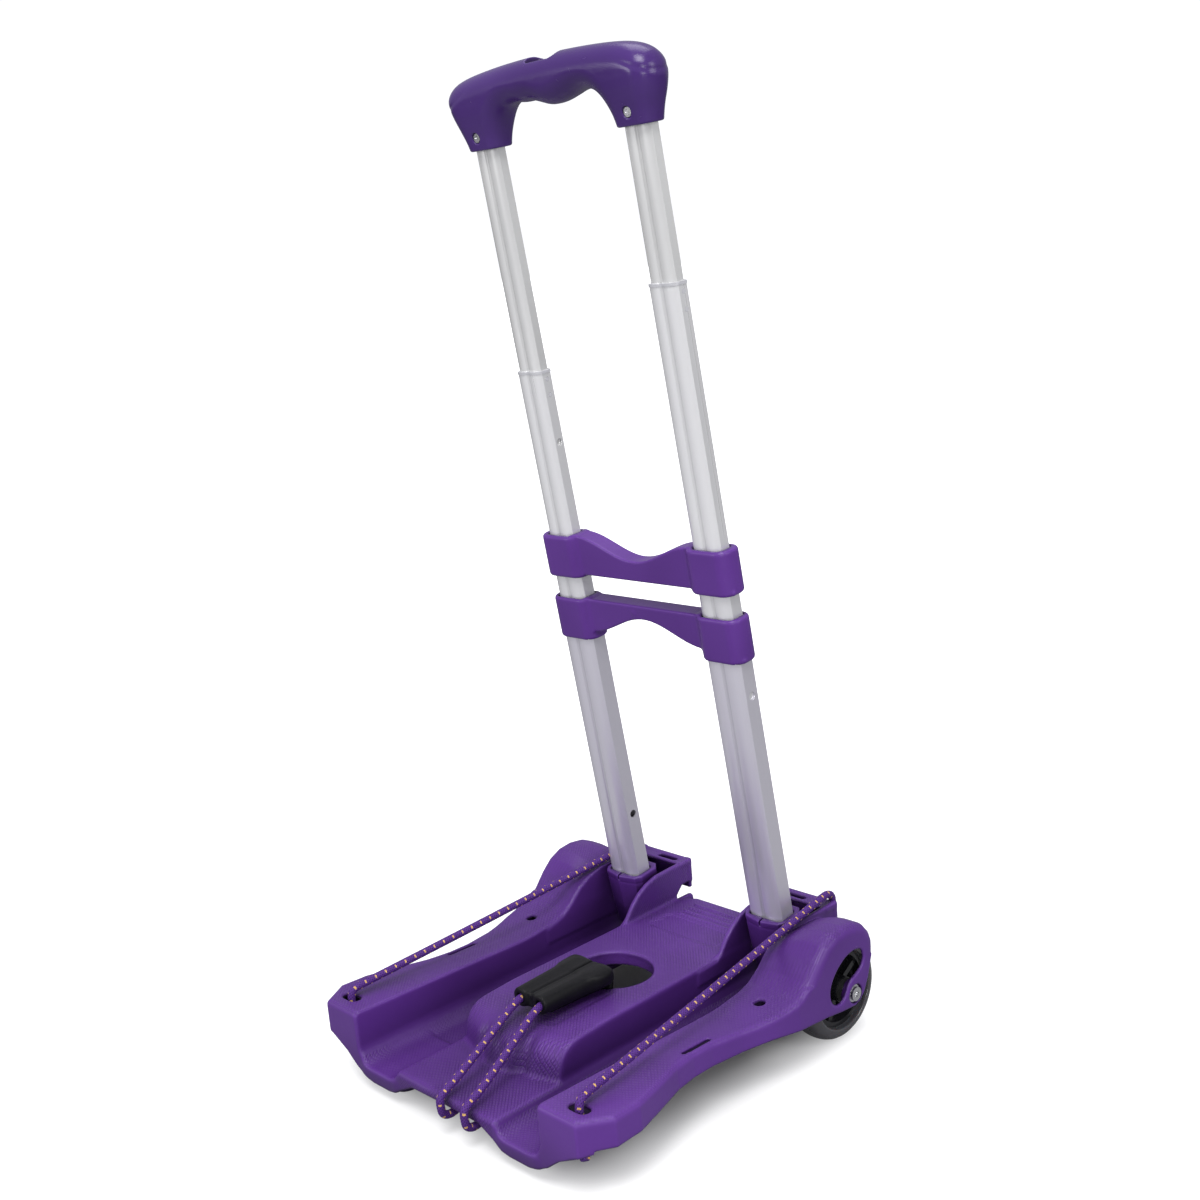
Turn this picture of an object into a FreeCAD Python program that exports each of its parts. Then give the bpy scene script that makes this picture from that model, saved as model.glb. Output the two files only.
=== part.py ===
import FreeCAD, Part
import math, os

# Folding luggage cart: moulded platform with two wheels, four-stage telescopic
# handle that folds flat into two channels, elastic cords and a cord hook.
# Frame: +X to the cart's right, +Y to its rear, +Z up, ground at z = 0. Millimetres.
# It is built with the wheel axle at y = 0 and moved by SHIFT_Y on export.

Vector = FreeCAD.Vector
SIDES = (1, -1)           # right, left
SHIFT_Y = 110.6           # from the axle line to the middle of the object's box

# Platform
SKIN = 3.0                # wall thickness of the moulding
FRONT_Y = -260.0
RAIL_FRONT_Z, RAIL_REAR_Z, RAIL_BEND_Y = 57.0, 51.0, -72   # the rail slopes, then runs level
RAIL_X = 96.02            # inner edge of the side rail
MOUND_HALF_X, MOUND_Z, FLOOR_Z = 49, 54.0, 28.0
CHANNEL_X, CHANNEL_HALF, CHANNEL_R, CHANNEL_FLOOR = 73.5, 22.5, 14.0, 18.0
CHANNEL_RIM_Z = 70        # channel walls before they are trimmed

# Fold pivot, axle and wheel
PIVOT_Y, PIVOT_Z, PIVOT_R, PIVOT_GAP = 1.0, 48.0, 4.0, 0.05
AXLE_R, AXLE_GAP = 4.0, 0.04
AXLE_HOLE_R = AXLE_R + AXLE_GAP
WHEEL_X, WHEEL_R = 121.5, 38.3
AXLE_Z = WHEEL_R
WELL_R = WHEEL_R + 3.2
RIM_INNER_X = 103.6       # outer end of the nut pocket

# Handle, along heights h measured up the tube axis from the socket rim
LEG_X = 73.0              # half spacing of the legs
LEAN = 7.5                # forward lean, degrees
SOCKET_Y, SOCKET_Z = -3.46, 83.63     # tube axis at the socket rim
LOWER, THIRD, SECOND, TOP = (30.6, 18.0), (28.4, 15.8), (25.8, 13.3), (23.0, 10.8)  # width, depth
WALL = 0.9
LOWER_BOT, LOWER_TOP = -26.0, 229.0
THIRD_BOT, THIRD_TOP = 59.0, 279.0
SECOND_TOPS = {1: 461.0, -1: 404.0}   # the two legs are drawn out unequally
SECOND_LEN = 224.0
TOP_BOT, TOP_END = 336.0, 588.0
LOWER_BRACKET = (200.0, 233.0)
UPPER_BRACKET = (249.0, 281.5)
RIVET_H, SCREW_H = -14, 568
SPRING_X = 52

# Cords and hook
CORD_R = 3.5
HOOK_X, HOOK_Z = 3.0, 64.5
STRAND_X = 10.0           # half spacing of the two cords in the hook
CORD_HOLE_X, CORD_HOLE_Y = 120.2, -244.9


# ---- helpers ----
def box(x0, x1, y0, y1, z0, z1):
    x0, x1 = sorted((x0, x1))
    return Part.makeBox(x1 - x0, y1 - y0, z1 - z0, Vector(x0, y0, z0))


def rod(radius, start, end):
    start, end = Vector(*start), Vector(*end)
    return Part.makeCylinder(radius, (end - start).Length, start, end - start)


def rod_x(radius, y, z, x0, x1):
    return rod(radius, (x0, y, z), (x1, y, z))


def rod_y(radius, x, z, y0, y1):
    return rod(radius, (x, y0, z), (x, y1, z))


def rod_z(radius, x, y, z0, z1):
    return rod(radius, (x, y, z0), (x, y, z1))


def axle_rod(radius, x0, x1):
    return rod_x(radius, 0, AXLE_Z, x0, x1)


def face(points):
    points = [Vector(*p) for p in points]
    return Part.Face(Part.makePolygon(points + [points[0]]))


def prism_x(outline, x0, x1):
    return face([(x0, y, z) for y, z in outline]).extrude(Vector(x1 - x0, 0, 0))


def prism_y(outline, y0, y1):
    return face([(x, y0, z) for x, z in outline]).extrude(Vector(0, y1 - y0, 0))


def prism_z(outline, z0, z1):
    return face([(x, y, z0) for x, y in outline]).extrude(Vector(0, 0, z1 - z0))


def fuse(first, *others):
    return first.multiFuse(list(others)) if others else first


def mirror_x(shape):
    return shape.mirror(Vector(0, 0, 0), Vector(1, 0, 0))


def both(shape):
    return [shape, mirror_x(shape)]


def hexagon_x(radius, x0, x1):
    angles = [math.radians(60 * i) for i in range(6)]
    corners = [(radius * math.cos(a), AXLE_Z + radius * math.sin(a)) for a in angles]
    return prism_x(corners, x0, x1)


def slot(x0, x1, y, radius, z0, z1):
    """Pieces of an upright slot with round ends centred on x0 and x1."""
    return [box(x0, x1, y - radius, y + radius, z0, z1),
            rod_z(radius, x0, y, z0, z1), rod_z(radius, x1, y, z0, z1)]


def round_block(half_x, half_y, radius, z0, z1, x=0.0):
    """Block with rounded upright corners."""
    in_x, in_y = half_x - radius, half_y - radius
    return fuse(box(x - in_x, x + in_x, -half_y, half_y, z0, z1),
                box(x - half_x, x + half_x, -in_y, in_y, z0, z1),
                *[rod_z(radius, x + i * in_x, j * in_y, z0, z1)
                  for i in SIDES for j in SIDES]).removeSplitter()


def curve(height, x0, x1, steps):
    stations = [x0 + (x1 - x0) * i / steps for i in range(steps + 1)]
    return [(x, height(x)) for x in stations]


def lean(shape):
    """Move from leg coordinates (x, depth to the rear, height) to the cart frame."""
    shape = shape.copy()
    shape.rotate(Vector(0, 0, 0), Vector(1, 0, 0), LEAN)
    shape.translate(Vector(0, SOCKET_Y, SOCKET_Z))
    return shape


# ---- platform outlines ----
# Outer edge of the right side, front to rear: x, y
SIDE_PLAN = [(131.1, -258.9), (144.5, -237.7), (144.0, -216), (128.5, -165),
             (127.7, -133), (144.0, -63.5), (144.0, 21), (99, 21)]
# Inside of the skirt: x, y
SKIRT_INNER = [(RAIL_X + SKIN, FRONT_Y + 4), (129.4, -255.9), (141.4, -237), (141, -216.4),
               (125.5, -165.2), (124.7, -132.6), (141, -62.8), (141, 60), (RAIL_X + SKIN, 60)]
# Lower right part of the front band, below the channel: x, z
BAND_LOW = [(60, CHANNEL_FLOOR - SKIN + 1.0), (52, CHANNEL_FLOOR - SKIN + 4.5),
            (40, FLOOR_Z - 1.5), (0, FLOOR_Z - 1.5), (0, 22), (36, 20), (50, 13), (57, 9),
            (63, 7.8), (84, 7.8), (93, 10), (100, 14), (112, 23), (130.5, 32), (130.5, 40),
            (112, 52)]
# Side views of the foot, ears and wheel housing: y, z
FOOT = [(-258.6, CHANNEL_FLOOR - 2), (-257.5, 11), (-252, 4.6), (-244, 1.2), (-237, 0),
        (-224, 0), (-214, 5), (-206, CHANNEL_FLOOR - 2)]
INNER_EAR = [(-62, 48), (-61, 51), (-41.2, 51.6), (-35.6, 57.5), (-28.3, 66.5), (-20.4, 73.2),
             (-11.3, 78), (-0.9, 80.7), (19.7, 82), (39, 82), (39, 64), (27.4, 63.6),
             (21.6, 58), (17, 50.4), (17, 40), (-62, 40)]
OUTER_EAR = [(-75, 40), (-75, 51), (-58, 56), (-47, 64), (-37, 73), (-27, 79.5), (-14, 82),
             (5, 83), (39, 83), (39, 40)]
HOUSING = [(-84, 40.8), (-84, 50), (-72, 51), (-58, 56), (-47, 66), (-37, 77), (-27, 85),
           (-16, 88.5), (-4, 88.6), (10, 86.5), (20.3, 80), (24.0, 73.2), (22.3, 65.4),
           (19.1, 55.9), (15.3, 45.3), (10.5, 36.4), (4.6, 30.8), (-1.4, 29.5),
           (-15.8, 30.7), (-31.4, 33.4), (-56.1, 36)]
HOUSING_HOLLOW = [(-84, 30), (-84, 47), (-72, 48), (-56, 53), (-47, 60), (-45, 20)]
KIDNEY = [(-27.4, 48.0), (-26.3, 53.7), (-22.5, 59.6), (-16.4, 65.0), (-8.0, 69.7),
          (1.8, 71.1), (8.7, 69.2), (11.1, 63.7), (9.5, 57.8), (4.0, 53.8), (-4.6, 50.8),
          (-8.4, 46.3), (-11.2, 41.3), (-16.4, 38.1), (-22.0, 38.2), (-26.2, 42.2)]
# Slope from the mound down to the front floor: y, z
MOUND_FRONT = [(-177, MOUND_Z), (-178, MOUND_Z), (-190, 50.5), (-213, FLOOR_Z),
               (-214, FLOOR_Z - SKIN + 0.3), (-209, FLOOR_Z - SKIN + 0.3), (-188, 47),
               (-177, 51)]


# ---- platform ----
def rail_and_skirt():
    plan = prism_z([(RAIL_X, FRONT_Y + 1)] + SIDE_PLAN + [(99, 38.9), (RAIL_X, 38.9)], -1, 120)
    start = FRONT_Y - 1
    rail = prism_x([(start, RAIL_FRONT_Z), (RAIL_BEND_Y, RAIL_REAR_Z), (40, RAIL_REAR_Z),
                    (40, RAIL_REAR_Z - SKIN), (RAIL_BEND_Y, RAIL_REAR_Z - SKIN),
                    (start, RAIL_FRONT_Z - SKIN)], 98, 150).common(plan)
    skirt_band = prism_x([(start, RAIL_FRONT_Z - 1.5), (RAIL_BEND_Y, RAIL_REAR_Z - 1.5),
                          (21, RAIL_REAR_Z - 1.5), (21, 38), (-60, 36), (-130, 36),
                          (-250, 35), (start, 34)], 97, 150)
    skirt = plan.cut(prism_z(SKIRT_INNER, -1, 120)).common(skirt_band)
    return [rail, skirt]


def channel_arc(side, grow, start, end):
    """Points on a lower channel corner (side 1 outer, -1 inner), angles in degrees."""
    x = CHANNEL_X + side * (CHANNEL_HALF - CHANNEL_R)
    z = CHANNEL_FLOOR + CHANNEL_R
    radius = CHANNEL_R + grow
    angles = [math.radians(start + (end - start) * i / 5) for i in range(6)]
    return [(x + radius * math.cos(a), z + radius * math.sin(a)) for a in angles]


def channel():
    """Flat floor with rounded corners, one skin thick."""
    half_out = CHANNEL_HALF + SKIN
    inside = ([(CHANNEL_X + CHANNEL_HALF, CHANNEL_RIM_Z)] + channel_arc(1, 0, 0, -90)
              + channel_arc(-1, 0, -90, -180) + [(CHANNEL_X - CHANNEL_HALF, CHANNEL_RIM_Z)])
    outside = ([(CHANNEL_X - half_out, CHANNEL_RIM_Z)] + channel_arc(-1, SKIN, -180, -90)
               + channel_arc(1, SKIN, -90, 0) + [(CHANNEL_X + half_out, CHANNEL_RIM_Z)])
    trough = prism_y(inside + outside, FRONT_Y + 1, 36.1)
    # the outer wall stops at the rail, the inner one follows the mound and the floor
    start = FRONT_Y - 2
    keep_out = prism_x([(start, RAIL_FRONT_Z + 0.05), (RAIL_BEND_Y, RAIL_REAR_Z),
                        (41, RAIL_REAR_Z), (41, 0), (start, 0)], CHANNEL_X, 120)
    keep_in = prism_x([(-178, MOUND_Z - 0.02), (41, MOUND_Z - 0.02), (41, 0), (start, 0),
                       (start, FLOOR_Z - 0.02), (-213, FLOOR_Z - 0.02), (-190, 50.4)],
                      20, CHANNEL_X)
    return trough.common(fuse(keep_out, keep_in))


def front_band():
    corner = [(x, z - 1.5) for x, z in reversed(channel_arc(1, SKIN, -90, 0))]
    return prism_y([(99.5, 52), (99.5, 45)] + corner + BAND_LOW, FRONT_Y + 1.2, FRONT_Y + 4.2)


def wheel_well():
    return fuse(axle_rod(WELL_R, 106.5, 138),
                box(106.5, 138, -WELL_R, 60, -2, AXLE_Z),
                box(106.5, 138, 0, 60, -2, 66))


def wheel_housing():
    housing = prism_x(HOUSING, 98.6, 144)
    hollow = prism_x(HOUSING_HOLLOW, 99, 141).common(box(99, 141, -90, -45.5, 20, 90))
    # the crown falls away on its inner side, where the side cord runs
    housing = housing.cut(prism_y([(95, 75.1), (115, 90.1), (95, 95)], -44, 36))
    housing = housing.cut(wheel_well()).cut(hollow).cut(prism_x(KIDNEY, 137, 150))
    housing = housing.cut(axle_rod(AXLE_HOLE_R, 98, 150)).cut(axle_rod(6.6, 141, 150))
    # square pocket for the axle nut
    return housing.cut(box(98, RIM_INNER_X, -7.5, 7.5, AXLE_Z - 7.5, AXLE_Z + 7.5))


def rear_side():
    """Right rear: two ears, the box between them and the wheel housing."""
    rear_box = fuse(box(47, 99.5, 36, 39, 44, 82.0), box(47, 99.5, 26, 39, 79, 82.0))
    rear_box = rear_box.cut(fuse(*slot(58, 74, 32, 2, 70, 90)))
    return fuse(prism_x(INNER_EAR, 47, 51), prism_x(OUTER_EAR, 96, 99.5), rear_box,
                wheel_housing())


def base_cutters():
    cutters = []
    for side in SIDES:
        # front cord slot, round hole in the rail, narrow slit in the rail
        cutters += slot(side * 116.7, side * 123.7, -244.4, 4.5, 20, 70)
        cutters += [rod_z(4.0, side * 118.1, -77.2, 42, 70),
                    box(side * 120.3, side * 123.3, -155, -128, 40, 70)]
    # pin holes through both ears; the wheel openings also pass through rail and skirt
    for shape in (rod_x(PIVOT_R + PIVOT_GAP, PIVOT_Y, PIVOT_Z, 47.8, 99.6), wheel_well(),
                  prism_x(KIDNEY, 138, 150), axle_rod(AXLE_HOLE_R, 103, 150),
                  axle_rod(6.6, 141, 150)):
        cutters += both(shape)
    return fuse(*cutters)


def base_shell():
    half = MOUND_HALF_X
    mound_top = box(-half, half, -178, 24, MOUND_Z - SKIN, MOUND_Z)
    slope = prism_x(MOUND_FRONT, -half, half)
    floor = box(-half, half, FRONT_Y, -211, FLOOR_Z - SKIN, FLOOR_Z)
    # block behind the mound and three ribs across its top
    tread = fuse(box(-44, 44, 23, 33, 46, 52),
                 *[box(-30, 30, 4 + 7 * i, 6.5 + 7 * i, MOUND_Z - 0.5, MOUND_Z + 1.0)
                   for i in range(3)])
    halves = rail_and_skirt() + [channel(), front_band(), prism_x(FOOT, 61, 86)]
    base = fuse(mound_top, slope, floor, tread, *[s for part in halves for s in both(part)])
    base = fuse(base, *both(rear_side())).cut(base_cutters())
    # oval opening in the mound
    oval = Part.Ellipse(Vector(0, -97, 40), 30, 27).toShape()
    return base.cut(Part.Face(Part.Wire(oval)).extrude(Vector(0, 0, 30)))


# ---- pivot pin, axle and wheel, all on the right side ----
# Revolved profiles: x from the wheel centre, radius
TYRE = [(-12.5, 29.2), (-12.5, 33.0), (-11.0, 36.0), (-7.5, 37.8), (0, WHEEL_R), (7.5, 37.8),
        (11.0, 36.0), (12.5, 33.0), (12.5, 29.2), (8.0, 28.0), (-8.0, 28.0)]
HUB_RIM = [(-8, 28.0), (8, 28.0), (8, 24.6), (2.0, 23.6), (-2.0, 23.6), (-8, 24.6)]
# Bushings, x from the wheel centre: sleeve start, sleeve end, flange start, flange end
BUSHINGS = [(-11.5, -3.5, -12.7, -11.5), (3.5, 11.5, 11.5, 12.7)]
BUSHING_R = 6.5


def wheel_turned(profile):
    outline = face([(WHEEL_X + x, 0, AXLE_Z + radius) for x, radius in profile])
    return outline.revolve(Vector(WHEEL_X, 0, AXLE_Z), Vector(1, 0, 0), 360)


def wheel_rod(radius, x0, x1):
    return axle_rod(radius, WHEEL_X + x0, WHEEL_X + x1)


def five_around(make, first_angle):
    shapes = [make() for i in range(5)]
    for i, shape in enumerate(shapes):
        shape.rotate(Vector(WHEEL_X, 0, AXLE_Z), Vector(1, 0, 0), 72 * i + first_angle)
    return shapes


def hub():
    spokes = five_around(lambda: box(WHEEL_X - 5.5, WHEEL_X + 5.5, -2.0, 2.0,
                                     AXLE_Z + 7, AXLE_Z + 25.3), 12)
    holes = five_around(lambda: rod_x(5.2, 0, AXLE_Z + 17.2, WHEEL_X - 5, WHEEL_X + 5), 48)
    web = wheel_rod(25, -1.2, 1.2)
    body = fuse(wheel_turned(HUB_RIM), wheel_rod(9.5, -11.5, 11.5), *spokes,
                web.cut(fuse(*holes)))
    return body.cut(wheel_rod(BUSHING_R, -20, 20)).removeSplitter()


def bushings():
    bore = wheel_rod(AXLE_HOLE_R, -20, 20)
    return Part.makeCompound([
        fuse(wheel_rod(BUSHING_R, start, end), wheel_rod(8.5, flange0, flange1)).cut(bore)
        for start, end, flange0, flange1 in BUSHINGS])


def wheel_bolt():
    bolt = fuse(axle_rod(AXLE_R, 99.65, 141.4), axle_rod(6.3, 141.05, 142.2),
                axle_rod(5.0, 142.1, 144.6))
    return bolt.cut(hexagon_x(2.3, 142.4, 150))


def wheel_side_parts():
    return {
        "pivot_pin": rod_x(PIVOT_R, PIVOT_Y, PIVOT_Z, 47.9, 99.4),
        "wheel_bolt": wheel_bolt(),
        "axle_nut": hexagon_x(6.4, 99.7, 103.4).cut(axle_rod(AXLE_R, 98, 110)),
        "tyre": wheel_turned(TYRE),
        "hub": hub(),
        "bushings": bushings(),
    }


# ---- handle legs ----
# Socket outline at the rim: x, depth
CUP = [(-19.3, -7), (-15.5, -12), (0, -15.2), (15.5, -12), (19.3, -7), (19.3, 9),
       (14, 14.8), (-14, 14.8), (-19.3, 9)]
# Socket stations: width factor, depth factor, height
CUP_STATIONS = [(1, 1, 0), (0.97, 0.93, -28), (0.93, 0.72, -50)]


def section(size, grow, h0, h1, x):
    """Oblong bar: flat sides, two crowned lobes front and rear with a shallow groove between.

    size is (width, depth); grow is added to both.
    """
    half_w, depth = (size[0] + grow) / 2, size[1] + grow
    half_d = depth / 2
    flank = half_d - min(3.0, 0.2 * depth)
    lip = half_d - 0.45
    # front lobe, groove, lobe (three arcs), then the flat side; turned half round for the rear
    stops = [(-half_w, -flank), (-half_w * 0.5, -half_d), (-1.6, -lip), (0, -(half_d - 1.0)),
             (1.6, -lip), (half_w * 0.5, -half_d), (half_w, -flank), (half_w, flank)]
    edges = []
    for turn in (1, -1):
        points = [Vector(turn * across + x, turn * deep, h0) for across, deep in stops]
        edges += [Part.Arc(*points[i:i + 3]).toShape() for i in (0, 2, 4)]
        edges.append(Part.makeLine(points[6], points[7]))
    outline = Part.Wire(Part.__sortEdges__(edges))
    return Part.Face(outline).extrude(Vector(0, 0, h1 - h0))


def tube(size, h0, h1, x):
    return section(size, 0, h0, h1, x).cut(section(size, -2 * WALL, h0 - 1, h1 + 1, x))


def plug(size, h0, length, x):
    return section(size, -2 * WALL - 0.04, h0, h0 + length, x)


def side_hole(radius, h, x, way):
    """Cutter through one flat side of a tube; way is the x direction it points."""
    return rod_x(radius, 0, h, x + way * 5, x + way * 20)


def socket(x):
    wires = []
    for width, depth, h in CUP_STATIONS:
        points = [Vector(px * width, py * depth, h) for px, py in CUP]
        wires.append(Part.makePolygon(points + [points[0]]))
    cup = Part.makeLoft(wires, True, True)
    cup.translate(Vector(x, 0, 0))
    cup = cup.cut(section(LOWER, 0.1, LOWER_BOT, 5, x))
    cup = cup.cut(section(LOWER, -6, -45, LOWER_BOT + 1, x))
    cup = lean(cup.cut(rod_y(2.0, x, RIVET_H, -10.5, 30)))
    return cup.cut(rod_x(PIVOT_R + PIVOT_GAP, PIVOT_Y, PIVOT_Z, x - 40, x + 40))


def lower_tube(x, side):
    body = tube(LOWER, LOWER_BOT, LOWER_TOP, x)
    body = body.cut(side_hole(3.0, 51, x, -side)).cut(side_hole(3.0, 174, x, side))
    return body.cut(rod_y(2.0, x, RIVET_H, -30, 30))


def second_tube_and_bush(x, side):
    """The second tube, and its end ring with four pips that fill holes in the tube."""
    top = SECOND_TOPS[side]
    body = tube(SECOND, top - SECOND_LEN, top - 2, x)
    body = body.cut(side_hole(2.6, top - 53, x, -side))
    half_w = SECOND[0] / 2
    pips = []
    for drop in (6.5, 18):
        for way in (1, -1):
            body = body.cut(rod_x(1.8, 0, top - drop, x + way * 8, x + way * 20))
            pips.append(rod_x(1.75, 0, top - drop, x + way * (half_w - WALL + 0.02),
                              x + way * (half_w + 0.06)))
    ring = section(SECOND, 0.8, top - 2, top, x).cut(section(TOP, 0.16, top - 3, top + 1, x))
    return body, Part.makeCompound([ring] + pips)


def leg_parts(side):
    """One leg's parts above the socket, in leg coordinates."""
    x = side * LEG_X
    second_tube, bush = second_tube_and_bush(x, side)
    rod_hole = rod_z(2.3, x, 0, TOP_BOT - 1, TOP_BOT + 9)
    return {
        "lower_tube": lower_tube(x, side),
        "third_tube": tube(THIRD, THIRD_BOT, THIRD_TOP, x),
        "second_tube": second_tube,
        "tube_bush": bush,
        "top_tube": tube(TOP, TOP_BOT, TOP_END, x),
        "third_plug": plug(THIRD, THIRD_BOT, 3, x),
        "second_plug": plug(SECOND, SECOND_TOPS[side] - SECOND_LEN, 3, x),
        "top_plug": plug(TOP, TOP_BOT, 7, x).cut(rod_hole),
        "pull_rod": rod_z(2.0, x, 0, TOP_BOT + 4.2, 590),
    }


def socket_rivets():
    return lean(Part.makeCompound([
        fuse(rod_y(1.95, side * LEG_X, RIVET_H, -10.2, 15.0),
             rod_y(3.4, side * LEG_X, RIVET_H, 14.9, 16.0)) for side in SIDES]))


# ---- brackets joining the legs ----
BRIDGE_X = 57.0           # half length of the bridge between the collars


def bridge_wave(x):
    return 0.5 + 0.5 * math.cos(math.pi * x / BRIDGE_X)


def bracket(span, arch, flat_h, outer, outer_top, inner):
    """Two collars and a bridge: arch gives its curved edge, flat_h its straight one."""
    h0, h1 = span
    bridge = curve(arch, -BRIDGE_X, BRIDGE_X, 16) + [(BRIDGE_X, flat_h), (-BRIDGE_X, flat_h)]
    body = fuse(prism_y(bridge, -6.5, 8),
                *[round_block(19.2, 11.2, 8.0, h0, h1, side * LEG_X) for side in SIDES])
    # each collar fits the outer tube and has a lip round the inner one
    for side in SIDES:
        body = body.cut(section(outer, 0.1, h0 - 1, outer_top, side * LEG_X))
        body = body.cut(section(inner, 0.2, outer_top - 1, h1 + 1, side * LEG_X))
    return lean(body.removeSplitter())


# ---- grip ----
# Front view of the grip: x, height
GRIP = [(-87.3, 560.1), (-96.4, 582.5), (-98.6, 593.5), (-92, 602.4), (-72.1, 606.6),
        (-44.3, 608.8), (-17.7, 610.2), (7.7, 610.6), (39.6, 610.2), (70, 607.6),
        (87.5, 602.8), (94.6, 596.5), (96.2, 589), (92.8, 575.4), (87.6, 558), (57.2, 558.5),
        (53.2, 573), (47, 580.2), (40, 584.2), (30, 585.2), (20, 583.5), (9.7, 581.6),
        (-2.1, 580.9), (-12, 583.4), (-21.5, 583.9), (-33.3, 584.8), (-42, 581.2),
        (-49.5, 573), (-57, 559.0)]
GRIP_R = 15.4             # half depth
CROWN_H = 592             # where the domed top begins


def grip():
    crown = [(-GRIP_R * math.cos(math.radians(a)), CROWN_H + 19 * math.sin(math.radians(a)))
             for a in range(15, 180, 15)]
    profile = ([(-10.2, 550), (-10.2, 562), (-GRIP_R, 587), (-GRIP_R, CROWN_H)] + crown
               + [(GRIP_R, CROWN_H), (GRIP_R, 587), (10.2, 562), (10.2, 550)])
    body = prism_y(GRIP, -20, 20).common(prism_x(profile, -110, 110))
    body = body.common(round_block(104.5, GRIP_R, 13.0, 550, 620))
    ends = [round_block(18.5, 13.2, 9.0, 550, 574.5, side * 73.5) for side in SIDES]
    body = body.common(fuse(box(-120, 120, -20, 20, 574, 620), *ends))
    cuts = []
    for side in SIDES:
        x = side * LEG_X
        # tube seat, yoke post well, screw head recess and screw hole
        cuts += [section(TOP, 0.1, 540, TOP_END + 0.5, x), rod_z(3.3, x, 0, 580, 600),
                 rod_y(3.3, x, SCREW_H, -30, -8.9), rod_y(1.6, x, SCREW_H, -13, -4)]
    # yoke chamber, button opening, spring pockets, small notch above the chamber
    cuts += [box(-78, 78, -4.2, 4.2, 588.6, 599.2), round_block(15.0, 10.0, 6.0, 594.8, 620),
             rod_z(3.7, SPRING_X, 0, 585.8, 589), rod_z(3.7, -SPRING_X, 0, 585.8, 589),
             box(-2.5, 2.5, -4.2, 4.2, 598, 600)]
    return lean(body.cut(fuse(*cuts)).removeSplitter())


def release_yoke():
    posts = [rod_z(3.0, side * LEG_X, 0, 590, 593.3) for side in SIDES]
    return lean(fuse(box(-76, 76, -3.5, 3.5, 593.2, 597.0), *posts))


def release_button():
    top = 606.2
    crown = curve(lambda x: top - 0.006 * x * x, -15, 15, 10) + [(15, 590), (-15, 590)]
    cap = round_block(12.8, 8.6, 5.0, 599.6, top).common(prism_y(crown, -20, 20))
    return lean(fuse(cap, box(-6, 6, -3.4, 3.4, 597.0, 599.7)))


def grip_screws():
    screws = []
    for side in SIDES:
        x = side * LEG_X
        screw = fuse(rod_y(3.1, x, SCREW_H, -10.5, -8.92), rod_y(1.5, x, SCREW_H, -9.0, -5.8))
        cross = [box(x - a, x + a, -15, -9.9, SCREW_H - b, SCREW_H + b)
                 for a, b in ((1.6, 0.35), (0.35, 1.6))]
        screws.append(screw.cut(fuse(*cross)))
    return lean(Part.makeCompound(screws))


def yoke_springs():
    coil_r, wire_r, pitch, height = 2.9, 0.35, 1.3, 6.2
    springs = []
    for side in SIDES:
        helix = Part.makeHelix(pitch, height, coil_r)
        circle = Part.Circle(Vector(coil_r, 0, 0), Vector(0, 1, 0), wire_r)
        profile = Part.Wire([circle.toShape()])
        spring = Part.Wire(helix.Edges).makePipeShell([profile], True, True)
        spring.translate(Vector(side * SPRING_X, 0, 586.3))
        springs.append(spring)
    return lean(Part.makeCompound(springs))


# ---- cords ----
# Right cord, up through the front slot, along the top and down behind the rear box: x, y, z
SIDE_CORD = [(CORD_HOLE_X, CORD_HOLE_Y, 36), (CORD_HOLE_X, CORD_HOLE_Y, 57),
             (119.6, -240.5, 62.0), (96.3, 30, 91.2), (95.5, 40.6, 88.9), (95.2, 43.6, 82.0),
             (95.2, 43.6, 66)]
# Hook cord strand from the front lip to below the floor: y, z
STRAND_END = [(-256.8, 33.6), (-264.8, 29.9), (-264.8, 19.6), (-256, 13.0), (-245, 19.8)]


def rope(points):
    runs = [rod(CORD_R, start, end) for start, end in zip(points, points[1:])]
    return fuse(*runs, *[Part.makeSphere(CORD_R, Vector(*p)) for p in points[1:-1]])


def cord_knots():
    knots = []
    for side in SIDES:
        x, y = side * CORD_HOLE_X, CORD_HOLE_Y
        knot = fuse(Part.makeSphere(6.0, Vector(x, y, 41)),
                    rod(3.4, (x, y, 34), (side * 128.2, -252.6, 31)))
        knots.append(knot.cut(rod_z(CORD_R, x, y, 30.0, 60)))
    return Part.makeCompound(knots)


def hook_cord():
    """Two strands from the hook sleeves, over the front lip and joined under the floor."""
    left, right = [
        [(x, -143, HOOK_Z), (x, -184, HOOK_Z)] + [(lip_x, y, z) for y, z in STRAND_END]
        for x, lip_x in ((HOOK_X - STRAND_X, 3.0), (HOOK_X + STRAND_X, 28.0))]
    return rope(left + right[::-1])


# ---- hook ----
# Plan outlines: x from the hook centre, y
HOOK_SLAB = [(-15, -178), (15, -178), (20, -128), (17, -119), (-17, -119), (-20, -128)]
HOOK_BELLY = [(-11, -172), (11, -172), (14, -119), (-14, -119)]
# Side view of the claw: y, z
HOOK_CLAW = [(-120, 68), (-114.5, 64), (-112.5, 56), (-113, 49), (-117, 45.0), (-126, 45.0),
             (-128.5, 47), (-127, 49.6), (-121, 49.6), (-118, 50.8), (-118, 56)]


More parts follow.
